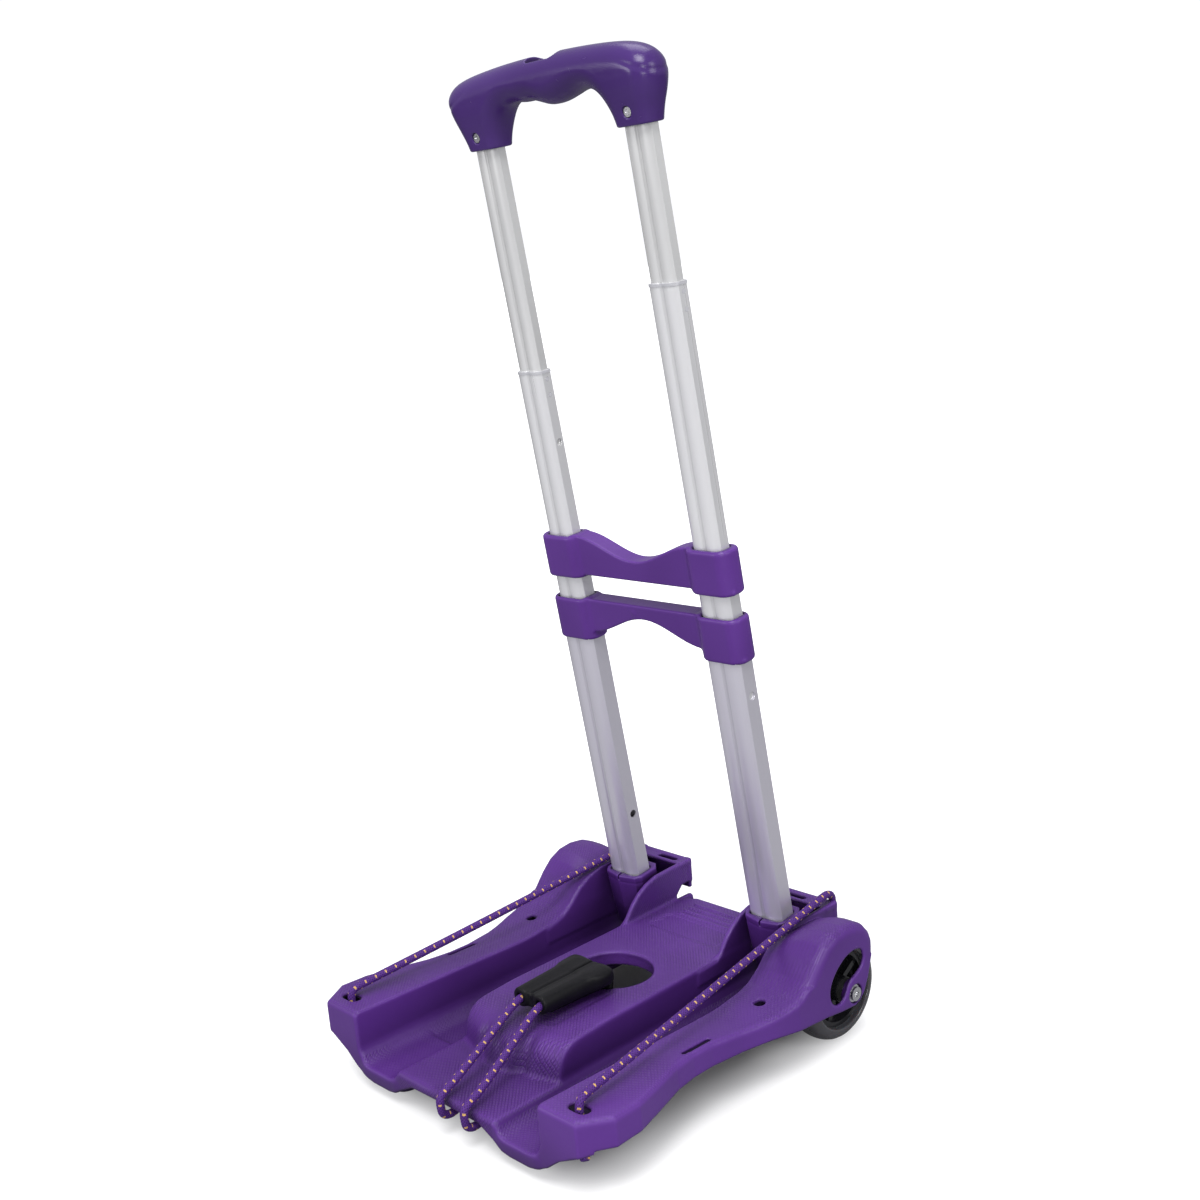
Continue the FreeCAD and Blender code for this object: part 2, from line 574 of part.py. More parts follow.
def cord_hook():
    strands = (HOOK_X + STRAND_X, HOOK_X - STRAND_X)
    sleeves = fuse(*[rod_y(6.6, x, HOOK_Z, -181, -124) for x in strands])
    slab = prism_z([(HOOK_X + x, y) for x, y in HOOK_SLAB], 59.5, 70.2)
    belly = prism_z([(HOOK_X + x, y) for x, y in HOOK_BELLY], 54.6, 60)
    hook = fuse(sleeves, slab, belly, prism_x(HOOK_CLAW, HOOK_X - 14, HOOK_X + 14))
    for x in strands:
        hook = hook.cut(rod_y(CORD_R + 0.06, x, HOOK_Z, -190, -138))
    # groove along the top
    groove = box(HOOK_X - 0.8, HOOK_X + 0.8, -185, -126, 68.8, 80)
    return hook.cut(groove).removeSplitter()


# ---- all pieces ----
pieces = {
    "base_shell": base_shell(),
    "socket_rivets": socket_rivets(),
    "lower_bracket": bracket(LOWER_BRACKET, lambda x: 207.0 + 15.5 * bridge_wave(x),
                             LOWER_BRACKET[1], LOWER, LOWER_TOP, THIRD),
    "upper_bracket": bracket(UPPER_BRACKET, lambda x: 281.0 - 15.0 * bridge_wave(x),
                             252.5, THIRD, THIRD_TOP, SECOND),
    "grip": grip(),
    "release_yoke": release_yoke(),
    "release_button": release_button(),
    "grip_screws": grip_screws(),
    "yoke_springs": yoke_springs(),
    "cord_knots": cord_knots(),
    "hook_cord": hook_cord(),
    "cord_hook": cord_hook(),
}
mirrored = wheel_side_parts()
mirrored["side_cord"] = rope(SIDE_CORD)
for name, shape in mirrored.items():
    pieces["right_" + name], pieces["left_" + name] = both(shape)
for prefix, side in (("right_", 1), ("left_", -1)):
    pieces[prefix + "socket"] = socket(side * LEG_X)
    for name, shape in leg_parts(side).items():
        pieces[prefix + name] = lean(shape)

os.makedirs("parts", exist_ok=True)
for name, shape in pieces.items():
    placed = shape.copy()
    placed.translate(Vector(0, SHIFT_Y, 0))
    solids = placed.Solids
    result = solids[0] if len(solids) == 1 else Part.makeCompound(solids)
    result.exportStep("parts/" + name + ".step")
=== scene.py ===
"""Wheeled platform cart with a telescopic handle, side cords and a corded hook.

Pieces are drawn in mm: x across (right is +x), y from front (-) to back (+) with the wheel
axle at y = 0, z up from the floor. The handle has its own frame: x, depth, and height along
the tubes, which lean 7.5 degrees toward the front as they rise.
"""
import bpy
import math
import numpy as np
from mathutils import Matrix, Vector


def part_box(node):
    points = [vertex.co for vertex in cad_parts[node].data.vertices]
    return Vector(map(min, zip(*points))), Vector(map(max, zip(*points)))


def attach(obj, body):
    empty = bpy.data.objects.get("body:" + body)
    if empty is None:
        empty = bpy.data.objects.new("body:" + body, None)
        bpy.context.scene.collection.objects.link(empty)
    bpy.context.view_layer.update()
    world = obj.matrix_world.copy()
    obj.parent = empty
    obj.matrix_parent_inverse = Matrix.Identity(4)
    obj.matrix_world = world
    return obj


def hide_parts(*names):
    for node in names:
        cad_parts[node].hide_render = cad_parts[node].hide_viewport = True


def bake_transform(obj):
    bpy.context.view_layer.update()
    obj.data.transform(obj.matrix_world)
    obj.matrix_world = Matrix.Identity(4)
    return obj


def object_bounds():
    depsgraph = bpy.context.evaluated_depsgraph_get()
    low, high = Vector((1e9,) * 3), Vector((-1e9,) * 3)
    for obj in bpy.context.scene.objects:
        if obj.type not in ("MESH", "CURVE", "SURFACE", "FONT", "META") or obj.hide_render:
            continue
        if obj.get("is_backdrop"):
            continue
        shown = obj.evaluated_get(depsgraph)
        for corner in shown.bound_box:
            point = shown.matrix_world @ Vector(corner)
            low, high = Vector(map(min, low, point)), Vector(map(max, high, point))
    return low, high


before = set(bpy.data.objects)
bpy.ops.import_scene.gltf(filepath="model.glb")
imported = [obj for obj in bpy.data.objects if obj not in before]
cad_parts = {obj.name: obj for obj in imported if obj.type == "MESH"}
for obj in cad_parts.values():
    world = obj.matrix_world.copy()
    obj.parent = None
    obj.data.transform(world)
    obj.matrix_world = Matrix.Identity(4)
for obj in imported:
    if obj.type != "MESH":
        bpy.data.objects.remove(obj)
cad_low, cad_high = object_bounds()
COARSEN = 1.0       # grid step factor of the small mouldings

tyre_low, tyre_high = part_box("right_tyre")
AXLE_Y = (tyre_low.y + tyre_high.y) * 500.0      # CAD metres to mm, halved
AXLE_Z = (tyre_low.z + tyre_high.z) * 500.0
LEAN = math.radians(7.5)
LEG_X = 73.0                          # leg centre either side of the middle
LEG_Y, LEG_Z = -3.46, 83.63           # origin of the handle frame
AXLE_HEIGHT = 38.3
HOOK_X, SLEEVE_Z = 3.0, 64.5          # hook centre, height of its two sleeves
SLEEVE_X = 10.0                       # sleeve bore from the hook centre
CORD_X = 120.2                        # front end of each side cord
BRAID_PITCH, BRAID_STRANDS = 2.2, 8.0
SIDES = (("right", 1), ("left", -1))


# ---------------------------------------------------------------- frames and meshes
def to_world(points):
    points = np.asarray(points, float).reshape(-1, 3)
    return (points + np.array([0.0, AXLE_Y, 0.0])) * 0.001


def leg_to_mm(points):
    x, depth, height = points.T
    cos, sin = math.cos(LEAN), math.sin(LEAN)
    return np.stack([x, LEG_Y + depth * cos - height * sin,
                     LEG_Z + depth * sin + height * cos], 1)


def mesh_object(name, points, faces, material, smooth=True):
    """Mesh from points in metres."""
    mesh = bpy.data.meshes.new(name)
    mesh.from_pydata(np.asarray(points, float).tolist(), [], faces)
    mesh.validate()
    mesh.update()
    if smooth:
        mesh.polygons.foreach_set("use_smooth", [True] * len(mesh.polygons))
    ob = bpy.data.objects.new(name, mesh)
    bpy.context.scene.collection.objects.link(ob)
    mesh.materials.append(material)
    return ob


def register(ob, node, slot, body):
    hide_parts(node)
    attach(ob, body)


# ---------------------------------------------------------------- distance fields
# A field is negative inside the solid. "blend" is the width of a rounded seam.
def join(a, b, blend):
    weight = np.clip(0.5 + 0.5 * (b - a) / blend, 0, 1)
    return b * (1 - weight) + a * weight - blend * weight * (1 - weight)


def meet(a, b, blend):
    return -join(-a, -b, blend)


def cut(solid, tool, blend):
    return meet(solid, -tool, blend)


def length(*parts):
    return np.sqrt(sum(part ** 2 for part in parts))


def slab(u, centre, half):
    return np.abs(u - centre) - half


def round_corner(u, v, radius):
    return length(np.maximum(u, 0), np.maximum(v, 0)) + np.minimum(np.maximum(u, v), 0) - radius


def round_box(u, v, half_u, half_v, radius):
    return round_corner(np.abs(u) - (half_u - radius), np.abs(v) - (half_v - radius), radius)


def polygon(u, v, points):
    u, v = np.broadcast_arrays(np.asarray(u, np.float32), np.asarray(v, np.float32))
    nearest = np.full(u.shape, 1e12, np.float32)
    inside = np.zeros(u.shape, bool)
    for i, (u0, v0) in enumerate(points):
        u1, v1 = points[i - 1]
        edge_u, edge_v = u1 - u0, v1 - v0
        du, dv = u - u0, v - v0
        along = np.clip((du * edge_u + dv * edge_v) / (edge_u * edge_u + edge_v * edge_v), 0, 1)
        nearest = np.minimum(nearest, (du - edge_u * along) ** 2 + (dv - edge_v * along) ** 2)
        if abs(edge_v) > 1e-9:
            crossing = u0 + edge_u * (v - v0) / edge_v
            inside ^= ((v0 > v) != (v1 > v)) & (u < crossing)
    return np.where(inside, -1.0, 1.0) * np.sqrt(nearest)


def cut_corners(points, times):
    """Closed outline with its corners cut at the quarter points."""
    for _ in range(times):
        cut_points = []
        for a, b in zip(points, points[1:] + points[:1]):
            cut_points += [(a[0] * 0.75 + b[0] * 0.25, a[1] * 0.75 + b[1] * 0.25),
                           (a[0] * 0.25 + b[0] * 0.75, a[1] * 0.25 + b[1] * 0.75)]
        points = cut_points
    return points


# ---------------------------------------------------------------- field to mesh (surface nets)
def sample(field, low, high, step):
    """Field values on a grid, taken in slices along x to save memory."""
    counts = [int(math.ceil((high[i] - low[i]) / step)) + 1 for i in range(3)]
    xs, ys, zs = [low[i] + step * np.arange(counts[i], dtype=np.float32) for i in range(3)]
    values = np.empty(counts, np.float32)
    rows = max(1, int(1.2e6 // (counts[1] * counts[2])))
    for first in range(0, counts[0], rows):
        part = slice(first, first + rows)
        values[part] = field(*np.meshgrid(xs[part], ys, zs, indexing="ij"))
    return values


def cell_points(values, inside):
    """Cells the surface crosses, and the mean of the edge crossings in each."""
    corners = list(np.ndindex(2, 2, 2))
    count = np.zeros([n - 1 for n in values.shape], np.int8)
    for corner in corners:
        count += inside[tuple(slice(o, n - 1 + o) for o, n in zip(corner, values.shape))]
    active = (count > 0) & (count < 8)
    cells = np.stack(np.nonzero(active), 1)
    total = np.zeros((len(cells), 3))
    hits = np.zeros(len(cells))
    for corner in corners:
        for axis in range(3):
            if corner[axis]:
                continue
            other = list(corner)
            other[axis] = 1
            a = values[tuple((cells + corner).T)].astype(float)
            b = values[tuple((cells + other).T)].astype(float)
            crossed = (a < 0) != (b < 0)
            points = np.tile(np.array(corner, float), (len(cells), 1))
            points[:, axis] += np.where(crossed, a / np.where(crossed, a - b, 1.0), 0)
            total += points * crossed[:, None]
            hits += crossed
    return active, cells, total / hits[:, None]


def cell_quads(inside, index):
    """A quad round every grid edge that crosses the surface."""
    quads = []
    for axis, (side_a, side_b) in enumerate([(1, 2), (2, 0), (0, 1)]):
        start = [slice(1, n - 1) for n in inside.shape]
        end = list(start)
        start[axis] = slice(0, inside.shape[axis] - 1)
        end[axis] = slice(1, inside.shape[axis])
        a, b = inside[tuple(start)], inside[tuple(end)]
        edges = np.stack(np.nonzero(a != b), 1)
        outward = a[tuple(edges.T)]
        offset = np.array([1, 1, 1])
        offset[axis] = 0
        edges = edges + offset
        around = []
        for u, v in ((0, 0), (1, 0), (1, 1), (0, 1)):
            cell = edges.copy()
            cell[:, side_a] -= u
            cell[:, side_b] -= v
            around.append(index[tuple(cell.T)])
        quad = np.stack(around, 1)
        quad[~outward] = quad[~outward][:, ::-1]
        quads.append(quad)
    quads = np.concatenate(quads)
    return quads[(quads >= 0).all(1)]


def pull_to_surface(field, points, step, reach=0.25):
    """Two limited Newton steps along the field's slope."""
    for _ in range(2):
        value = field(*points.T)
        slope = np.stack([field(*(points + shift).T) - field(*(points - shift).T)
                          for shift in reach * np.eye(3)], 1) / (2 * reach)
        move = -(value / np.maximum((slope ** 2).sum(1), 0.2))[:, None] * slope
        size = np.sqrt((move ** 2).sum(1))
        move *= np.minimum(1, 0.45 * step / np.maximum(size, 1e-9))[:, None]
        points = points + move
    return points


def surface(field, low, high, step, mirror):
    """Mesh of a field; mirror repeats the +x half on the -x side."""
    values = sample(field, low, high, step)
    whole = field
    if mirror:
        low = (low[0] - step * (values.shape[0] - 1), low[1], low[2])
        values = np.concatenate([values[:0:-1], values], 0)
        whole = lambda x, y, z: field(np.abs(x), y, z)
    inside = values < 0
    active, cells, local = cell_points(values, inside)
    index = np.full(active.shape, -1, np.int64)
    index[active] = np.arange(len(cells))
    points = np.array(low) + step * (cells + local)
    return pull_to_surface(whole, points, step), cell_quads(inside, index).tolist()


def moulding(name, field, low, high, step, material, node, slot, body,
             in_leg_frame=False, mirror=False):
    points, quads = surface(field, low, high, step, mirror)
    if in_leg_frame:
        points = leg_to_mm(points)
    register(mesh_object(name, to_world(points), quads, material), node, slot, body)


# ---------------------------------------------------------------- material nodes
class Nodes:
    """A new material, with short calls that add nodes to it."""
    INPUTS = {"base": "Base Color", "rough": "Roughness", "metal": "Metallic",
              "normal": "Normal", "specular": "Specular IOR Level", "coat": "Coat Weight",
              "coat_rough": "Coat Roughness", "transmission": "Transmission Weight",
              "anisotropy": "Anisotropic", "scatter": "Subsurface Weight",
              "scatter_scale": "Subsurface Scale", "glow": "Emission Color",
              "glow_strength": "Emission Strength"}

    def __init__(self, name):
        self.material = bpy.data.materials.new(name)
        self.material.use_nodes = True
        self.tree = self.material.node_tree
        self.shader = next(n for n in self.tree.nodes if n.type == "BSDF_PRINCIPLED")
        self.place = self.new("ShaderNodeTexCoord").outputs["Object"]

    def new(self, kind, inputs=None, **settings):
        node = self.tree.nodes.new(kind)
        for key, value in settings.items():
            setattr(node, key, value)
        for key, value in (inputs or {}).items():
            self.put(node.inputs[key], value)
        return node

    def put(self, socket, value):
        if isinstance(value, bpy.types.NodeSocket):
            self.tree.links.new(value, socket)
        else:
            socket.default_value = value

    def math(self, operation, a, b=0.0):
        return self.new("ShaderNodeMath", {0: a, 1: b}, operation=operation).outputs[0]

    def times(self, a, by):
        return self.math("MULTIPLY", a, by)

    def minus(self, a, b):
        return self.math("SUBTRACT", a, b)

    def plus(self, a, b):
        return self.math("ADD", a, b)

    def vary(self, value, span, start):
        return self.plus(self.times(value, span), start)

    def mapping(self, vector, scale=(1, 1, 1), rotation=(0, 0, 0)):
        return self.new("ShaderNodeMapping", {"Vector": vector, "Scale": scale,
                                              "Rotation": rotation}).outputs[0]

    def noise(self, scale, detail=2.0, vector=None, rough=0.5):
        return self.new("ShaderNodeTexNoise", {"Vector": vector or self.place, "Scale": scale,
                                               "Detail": detail, "Roughness": rough}
                        ).outputs["Fac"]

    def ramp(self, value, start, end, low=0.0, high=1.0):
        """Greys from low at start to high at end."""
        node = self.new("ShaderNodeValToRGB", {"Fac": value})
        for stop, position, grey in zip(node.color_ramp.elements, (start, end), (low, high)):
            stop.position = position
            stop.color = (grey, grey, grey, 1)
        return node.outputs["Color"]

    def smooth(self, value, start, end, low, high):
        return self.new("ShaderNodeMapRange", {"Value": value, "From Min": start,
                                               "From Max": end, "To Min": low, "To Max": high},
                        interpolation_type="SMOOTHSTEP").outputs["Result"]

    def mix(self, under, over, amount, strength=None):
        if strength is not None:
            amount = self.times(amount, strength)
        under, over = [(*c, 1) if isinstance(c, tuple) else c for c in (under, over)]
        return self.new("ShaderNodeMix", {0: amount, 6: under, 7: over},
                        data_type="RGBA", blend_type="MIX").outputs[2]

    def bump(self, height, distance, strength, normal=None):
        inputs = {"Height": height, "Distance": distance, "Strength": strength}
        if normal:
            inputs["Normal"] = normal
        return self.new("ShaderNodeBump", inputs).outputs[0]

    def split(self, vector=None):
        return self.new("ShaderNodeSeparateXYZ", {0: vector or self.place}).outputs

    def finish(self, **values):
        for key, value in values.items():
            self.put(self.shader.inputs[self.INPUTS[key]], value)
        return self.material


def shade(colour, factor, lift=0.0):
    return tuple(min(1, v * factor + lift) for v in colour)


# ---------------------------------------------------------------- materials
def hatching(t, normal):
    """Crossed diagonal lines: their height, and a mask for tops and the middle."""
    line_rate = math.pi / 0.0030      # lines 3 mm apart
    middle_half = 0.049
    x, y, z = t.split()
    rise = t.minus(y, z)
    first, second = [t.math("ABSOLUTE", t.math("SINE", t.times(across, line_rate)))
                     for across in (t.plus(x, rise), t.minus(x, rise))]
    line_sharpness = 0.45
    lines = t.math("POWER", t.math("MINIMUM", first, second), line_sharpness)
    faces_up = t.math("GREATER_THAN", t.split(normal)[2], 0.55)
    middle = t.math("LESS_THAN", t.math("ABSOLUTE", x), middle_half)
    return lines, t.math("MAXIMUM", t.times(faces_up, by=0.7), middle)


def purple_moulding(name, colour, rough, hatch=False):
    t = Nodes(name)
    broad = t.noise(scale=9.0)
    fine = t.noise(scale=1500.0, detail=3, rough=0.6)
    middling = t.noise(scale=160.0, detail=3)
    geometry = t.new("ShaderNodeNewGeometry").outputs
    base = t.mix(shade(colour, 0.88), shade(colour, 1.16, lift=0.004),
                 t.ramp(broad, start=0.35, end=0.65))
    # painted highlight on the edges (pale, in patches), pale specks, and painted shade in
    # hollows
    pale = shade(colour, 1.5, lift=0.02)
    edge_highlight = t.ramp(geometry["Pointiness"], start=0.505, end=0.56)
    base = t.mix(base, pale, t.times(t.times(edge_highlight, by=0.55), middling))
    specks = t.math("GREATER_THAN", t.noise(scale=420.0, detail=4, rough=0.75), 0.74)
    base = t.mix(base, pale, specks, strength=0.18)
    # painted shade: darker where ambient occlusion finds hollows and recesses
    open_sky = t.new("ShaderNodeAmbientOcclusion", {"Distance": 0.055}).outputs["AO"]
    base = t.mix(base, shade(colour, 0.34), t.ramp(open_sky, 0.30, 0.92, low=1.0, high=0.0))
    normal = t.bump(fine, distance=0.00010, strength=0.55)
    normal = t.bump(middling, distance=0.00012, strength=0.25, normal=normal)
    if hatch:
        lines, mask = hatching(t, geometry["Normal"])
        patchy = t.ramp(t.noise(scale=22.0), start=0.38, end=0.62, low=0.15)
        normal = t.bump(t.times(t.times(lines, mask), patchy), distance=0.00055,
                        strength=1.0, normal=normal)
        # painted shade in the grooves of the hatching
        base = t.mix(base, shade(colour, 0.50), t.times(t.minus(1.0, lines), mask),
                     strength=0.55)
    return t.finish(base=base, rough=t.vary(middling, span=0.14, start=rough - 0.07),
                    normal=normal, specular=0.34)


def anodised(name, colour, rough, metal):
    """Brushed along the leaning tubes."""
    t = Nodes(name)
    along = t.mapping(t.mapping(t.place, rotation=(-LEAN, 0, 0)), scale=(1, 1, 0.004))
    streaks = t.noise(scale=2600.0, detail=4, vector=along, rough=0.7)
    wide = t.noise(scale=420.0, vector=along)
    cloud = t.noise(scale=30.0, detail=3)
    base = t.mix(shade(colour, 0.90), shade(colour, 1.07), streaks, strength=0.5)
    base = t.mix(base, shade(colour, 0.84), cloud, strength=0.12)
    # painted shade: darker on faces toward +x, at grazing view, and in a line along each tube's
    # middle
    normal_x = t.split(t.new("ShaderNodeNewGeometry").outputs["Normal"])[0]
    base = t.mix(base, shade(colour, 0.62),
                 t.smooth(normal_x, start=0.25, end=0.85, low=0.0, high=0.5))
    facing = t.new("ShaderNodeLayerWeight", {"Blend": 0.5}).outputs["Facing"]
    falloff = 5.0
    base = t.mix(base, shade(colour, 0.42), t.math("POWER", facing, falloff), strength=0.75)
    from_leg = t.math("ABSOLUTE", t.minus(t.math("ABSOLUTE", t.split()[0]), LEG_X / 1000))
    base = t.mix(base, shade(colour, 0.55),
                 t.smooth(from_leg, start=0.0008, end=0.0022, low=0.34, high=0.0))
    normal = t.bump(streaks, distance=0.00003, strength=0.5)
    normal = t.bump(wide, distance=0.00006, strength=0.25, normal=normal)
    return t.finish(base=base, metal=metal, rough=t.vary(wide, span=0.14, start=rough - 0.07),
                    normal=normal, anisotropy=0.35)


def mottled(name, colours, fine_scale, broad_scale, rough, rough_span, grain, depth, **extra):
    """Plain plastic: broad noise mixes two colours, fine noise makes the grain."""
    t = Nodes(name)
    fine = t.noise(scale=fine_scale, detail=3)
    broad = t.noise(scale=broad_scale)
    return t.finish(base=t.mix(*colours, broad), rough=t.vary(broad, rough_span, rough),
                    normal=t.bump(fine, distance=depth, strength=grain), **extra)


def black(name, colour, rough, grain, specular):
    return mottled(name, (colour, shade(colour, 1.9, lift=0.002)), fine_scale=700.0,
                   broad_scale=60.0, rough=rough - 0.05, rough_span=0.12, grain=grain,
                   depth=0.00008, specular=specular)


def steel(name):
    colour = (0.72, 0.72, 0.74)
    t = Nodes(name)
    fine = t.noise(scale=1800.0, detail=4, rough=0.7)
    broad = t.noise(scale=200.0)
    return t.finish(base=t.mix(shade(colour, 0.82), colour, broad), metal=1.0,
                    rough=t.vary(fine, span=0.15, start=0.19),
                    normal=t.bump(fine, distance=0.00004, strength=0.4))


def braided(name):
    """Crossed strands with yellow flecks, staggered in four files round the cord."""
    files, fleck_pitch, fleck_share, fleck_half_width = 4.0, 8.6, 0.14, 0.27
    t = Nodes(name)
    # along: mm on the cord; turn: 0-1 round it
    along, turn, _ = t.split(t.new("ShaderNodeAttribute", attribute_name="braid")
                             .outputs["Vector"])
    waves = []
    for way in (t.plus, t.minus):
        phase = way(t.math("DIVIDE", along, BRAID_PITCH), t.times(turn, BRAID_STRANDS))
        waves.append(t.math("SINE", t.times(phase, by=2 * math.pi)))
    height = t.times(t.plus(t.math("MAXIMUM", *waves), 1.0), by=0.5)
    fibres = t.noise(scale=4200.0)
    # painted shade: darker in the dips between strands, lighter on their crowns
    base = t.mix((0.014, 0.004, 0.044), (0.088, 0.024, 0.220), height)
    base = t.mix(base, (0.16, 0.06, 0.34), fibres, strength=0.16)
    file = t.times(turn, by=files)
    stagger = t.times(t.math("MODULO", t.math("FLOOR", file), 2.0), by=0.5)
    step = t.math("FRACT", t.plus(t.math("DIVIDE", along, fleck_pitch), stagger))
    in_length = t.math("LESS_THAN", step, fleck_share)
    off_centre = t.math("ABSOLUTE", t.minus(t.math("FRACT", file), 0.5))
    in_width = t.math("LESS_THAN", off_centre, fleck_half_width)
    yellow = t.mix((0.50, 0.27, 0.07), (0.80, 0.52, 0.20), fibres)
    base = t.mix(base, yellow, t.times(in_length, in_width))
    normal = t.bump(height, distance=0.00035, strength=0.7)
    normal = t.bump(fibres, distance=0.0001, strength=0.5, normal=normal)
    return t.finish(base=base, rough=0.55, normal=normal, specular=0.22)


PURPLE = (0.088, 0.023, 0.215)
BASE = purple_moulding("purple_moulding", PURPLE, rough=0.40, hatch=True)
SOCKET = purple_moulding("purple_socket", shade(PURPLE, 0.92), rough=0.38)
BRACKET = purple_moulding("purple_bracket", PURPLE, rough=0.36)
GRIP = purple_moulding("purple_grip", (0.052, 0.0185, 0.142), rough=0.24)
TUBES = {stage: anodised("anodised_" + stage, colour, rough, metal)
         for stage, colour, rough, metal in (
             ("lower", (0.88, 0.86, 0.95), 0.34, 0.66),
             ("third", (0.96, 0.96, 0.99), 0.32, 0.55),
             ("second", (0.98, 0.98, 1.0), 0.30, 0.45),
             ("top", (1.0, 1.0, 1.0), 0.24, 0.50))}
HUB = black("hub_black", (0.008, 0.008, 0.010), rough=0.17, grain=0.25, specular=0.45)
HOOK = black("hook_black", (0.003, 0.003, 0.004), rough=0.42, grain=0.5, specular=0.18)
PLUG = black("plug_black", (0.02, 0.02, 0.02), rough=0.5, grain=0.6, specular=0.45)
STEEL = steel("zinc_steel")
TYRE = mottled("smoky_urethane", ((0.050, 0.048, 0.056), (0.085, 0.082, 0.094)),
               fine_scale=500.0, broad_scale=25.0, rough=0.16, rough_span=0.12, grain=0.3,
               depth=0.00006, coat=0.35, coat_rough=0.15, scatter=0.12, scatter_scale=0.01,
               transmission=0.10)
BUSH = mottled("grey_nylon", ((0.44, 0.44, 0.47), (0.56, 0.56, 0.59)), fine_scale=900.0,
               broad_scale=90.0, rough=0.36, rough_span=0.1, grain=0.4, depth=0.00006)
CORD = braided("braided_sheath")

# ---------------------------------------------------------------- platform
# plan outline of the right half: x, y
PLAN = [(-20, -260), (131.1, -259.2), (144.6, -237.7), (144.0, -216), (137.5, -193),
        (130.0, -168), (127.6, -150), (128.0, -132), (132.5, -108), (140, -82), (144.0, -62),
        (144.0, 24.0), (99.5, 24.0), (99.5, 39), (47, 39), (47, 23.5), (44, 27.5), (36, 33),
        (-20, 33)]
# side outlines: y, z
HOUSING = [(-150, -80), (-150, 20), (-96, 40), (-80, 47.5), (-70, 50.8), (-58, 56.5),
           (-48, 65), (-38.5, 76), (-29, 84.5), (-18, 89.6), (-6, 91), (6, 89.5), (15.5, 85),
           (21.5, 78), (24.0, 71), (24.0, -80)]
ABOVE_LOWER_EDGE = [(-280, 300), (-280, 35.2), (-130, 36), (-84, 37.5), (-60, 35.6),
                    (-43.8, 34.1), (-31.4, 33.0), (-15.8, 30.7), (-1.4, 29.4), (4.6, 30.8),
                    (10.5, 36.4), (15.3, 45.3), (19.1, 55.9), (22.3, 65.4), (24.0, 73.2),
                    (30, 90), (30, 300)]
FOOT = cut_corners([(-258.6, 19), (-258.3, 13), (-255.5, 7.6), (-250.5, 3.6), (-244, 1.0),
                    (-236, -0.1), (-225, -0.1), (-215, 4.4), (-204, 17), (-204, 19)], 1)
KIDNEY = cut_corners([(-27.4, 48.0), (-26.3, 53.7), (-22.5, 59.6), (-16.4, 65.0),
                      (-8.0, 69.7), (1.8, 71.1), (8.7, 69.2), (11.1, 63.7), (9.5, 57.8),
                      (4.0, 53.8), (-4.6, 50.8), (-8.4, 46.3), (-11.2, 41.3), (-16.4, 38.1),
                      (-22.0, 38.2), (-26.2, 42.2)], 2)
INNER_EAR = [(-62, 46), (-61, 51), (-41.2, 51.8), (-35.6, 57.5), (-28.3, 66.5),
             (-20.4, 73.2), (-11.3, 78), (-0.9, 80.9), (19.7, 82), (38.9, 82), (38.9, 64),
             (27.4, 63.6), (21.6, 58), (17, 50.4), (17, 42), (-62, 42)]
OUTER_EAR = [(-76, 40), (-76, 50), (-60, 54.5), (-48, 63), (-38, 72.5), (-28, 78.5),
             (-14, 82), (5, 83), (38.9, 83), (38.9, 40)]
# lower edge of the front: height z at each x
FRONT_EDGE_X = [0, 36, 49, 57, 64, 83, 93, 101, 112, 130, 146]
FRONT_EDGE_Z = [21.5, 20.5, 14, 9.5, 8.2, 8.2, 10.5, 14.5, 23, 32, 35.2]

WALL = 3.0
FLOOR_TOP, DECK_TOP, RAIL_TOP = 28.0, 54.0, 51.0
TROUGH_X = 73.5                       # trough along y in the front, and the foot below it
POST_X, POST_HALF = 73.3, 26.2        # box round each leg
HOUSING_X = 96.0                      # inner side of the wheel housing
WHEEL_X, WHEEL_HALF, WHEEL_ROOM = 122.2, 15.6, 41.5
OPENING_Y, OPENING_HALF_X, OPENING_HALF_Y = -97.0, 30.0, 27.0


def recess(outline, edge):
    """0.9 mm drop inside an outline, with a soft edge."""
    return 0.9 / (1 + np.exp(np.clip(outline / edge, -30, 30)))


def middle_form(x, y, z):
    """Low front floor and the raised deck with its sloped, rounded front wall."""
    wall_y = -217.0 + 0.33 * np.sqrt(x * x + 36.0)
    wall = (-(y - wall_y) * 20.0 + (z - FLOOR_TOP) * 5.6) / 20.77 / 1.05
    groove = 3.2 * np.exp(-((x - 21.0) / 4.6) ** 2) * np.clip((62.0 - z) / 10.0, 0, 1)
    front_fall = 0.020 * np.clip(-150.0 - y, 0, 80) ** 1.28
    hook_recess = recess(round_box(x, y + 150.0, 25.0, 31.0, 8.0), edge=0.6)
    rear_recess = recess(round_box(x, y + 15.0, 34.0, 12.0, 3.0), edge=0.5)
    deck = meet(z - DECK_TOP + front_fall + hook_recess + rear_recess, wall + groove, 13.0)
    return join(z - FLOOR_TOP, meet(deck, x - 51.2, 3.2), 3.6)


def envelope(x, y, z):
    """Outer form of the moulding before it is hollowed."""
    rail = z - np.where(y < -72, 57.0 - 6.0 * (y + 260) / 188.0, RAIL_TOP)
    top_slope = ((z - 76.0) * 20.0 - (x - HOUSING_X) * 13.5) / 24.1
    housing = meet(polygon(y, z, HOUSING), top_slope, 11.0)
    housing = meet(housing, HOUSING_X - x, 2.0)
    upper = np.where(x < TROUGH_X, middle_form(x, y, z), join(rail, housing, 16.0))
    form = meet(upper, polygon(x, y, PLAN), np.where(z > 62.0, 8.0, 4.5))
    trough = round_corner(slab(x, TROUGH_X, 8.5), 32.0 - z, 14.0)
    return cut(form, trough, 2.6)


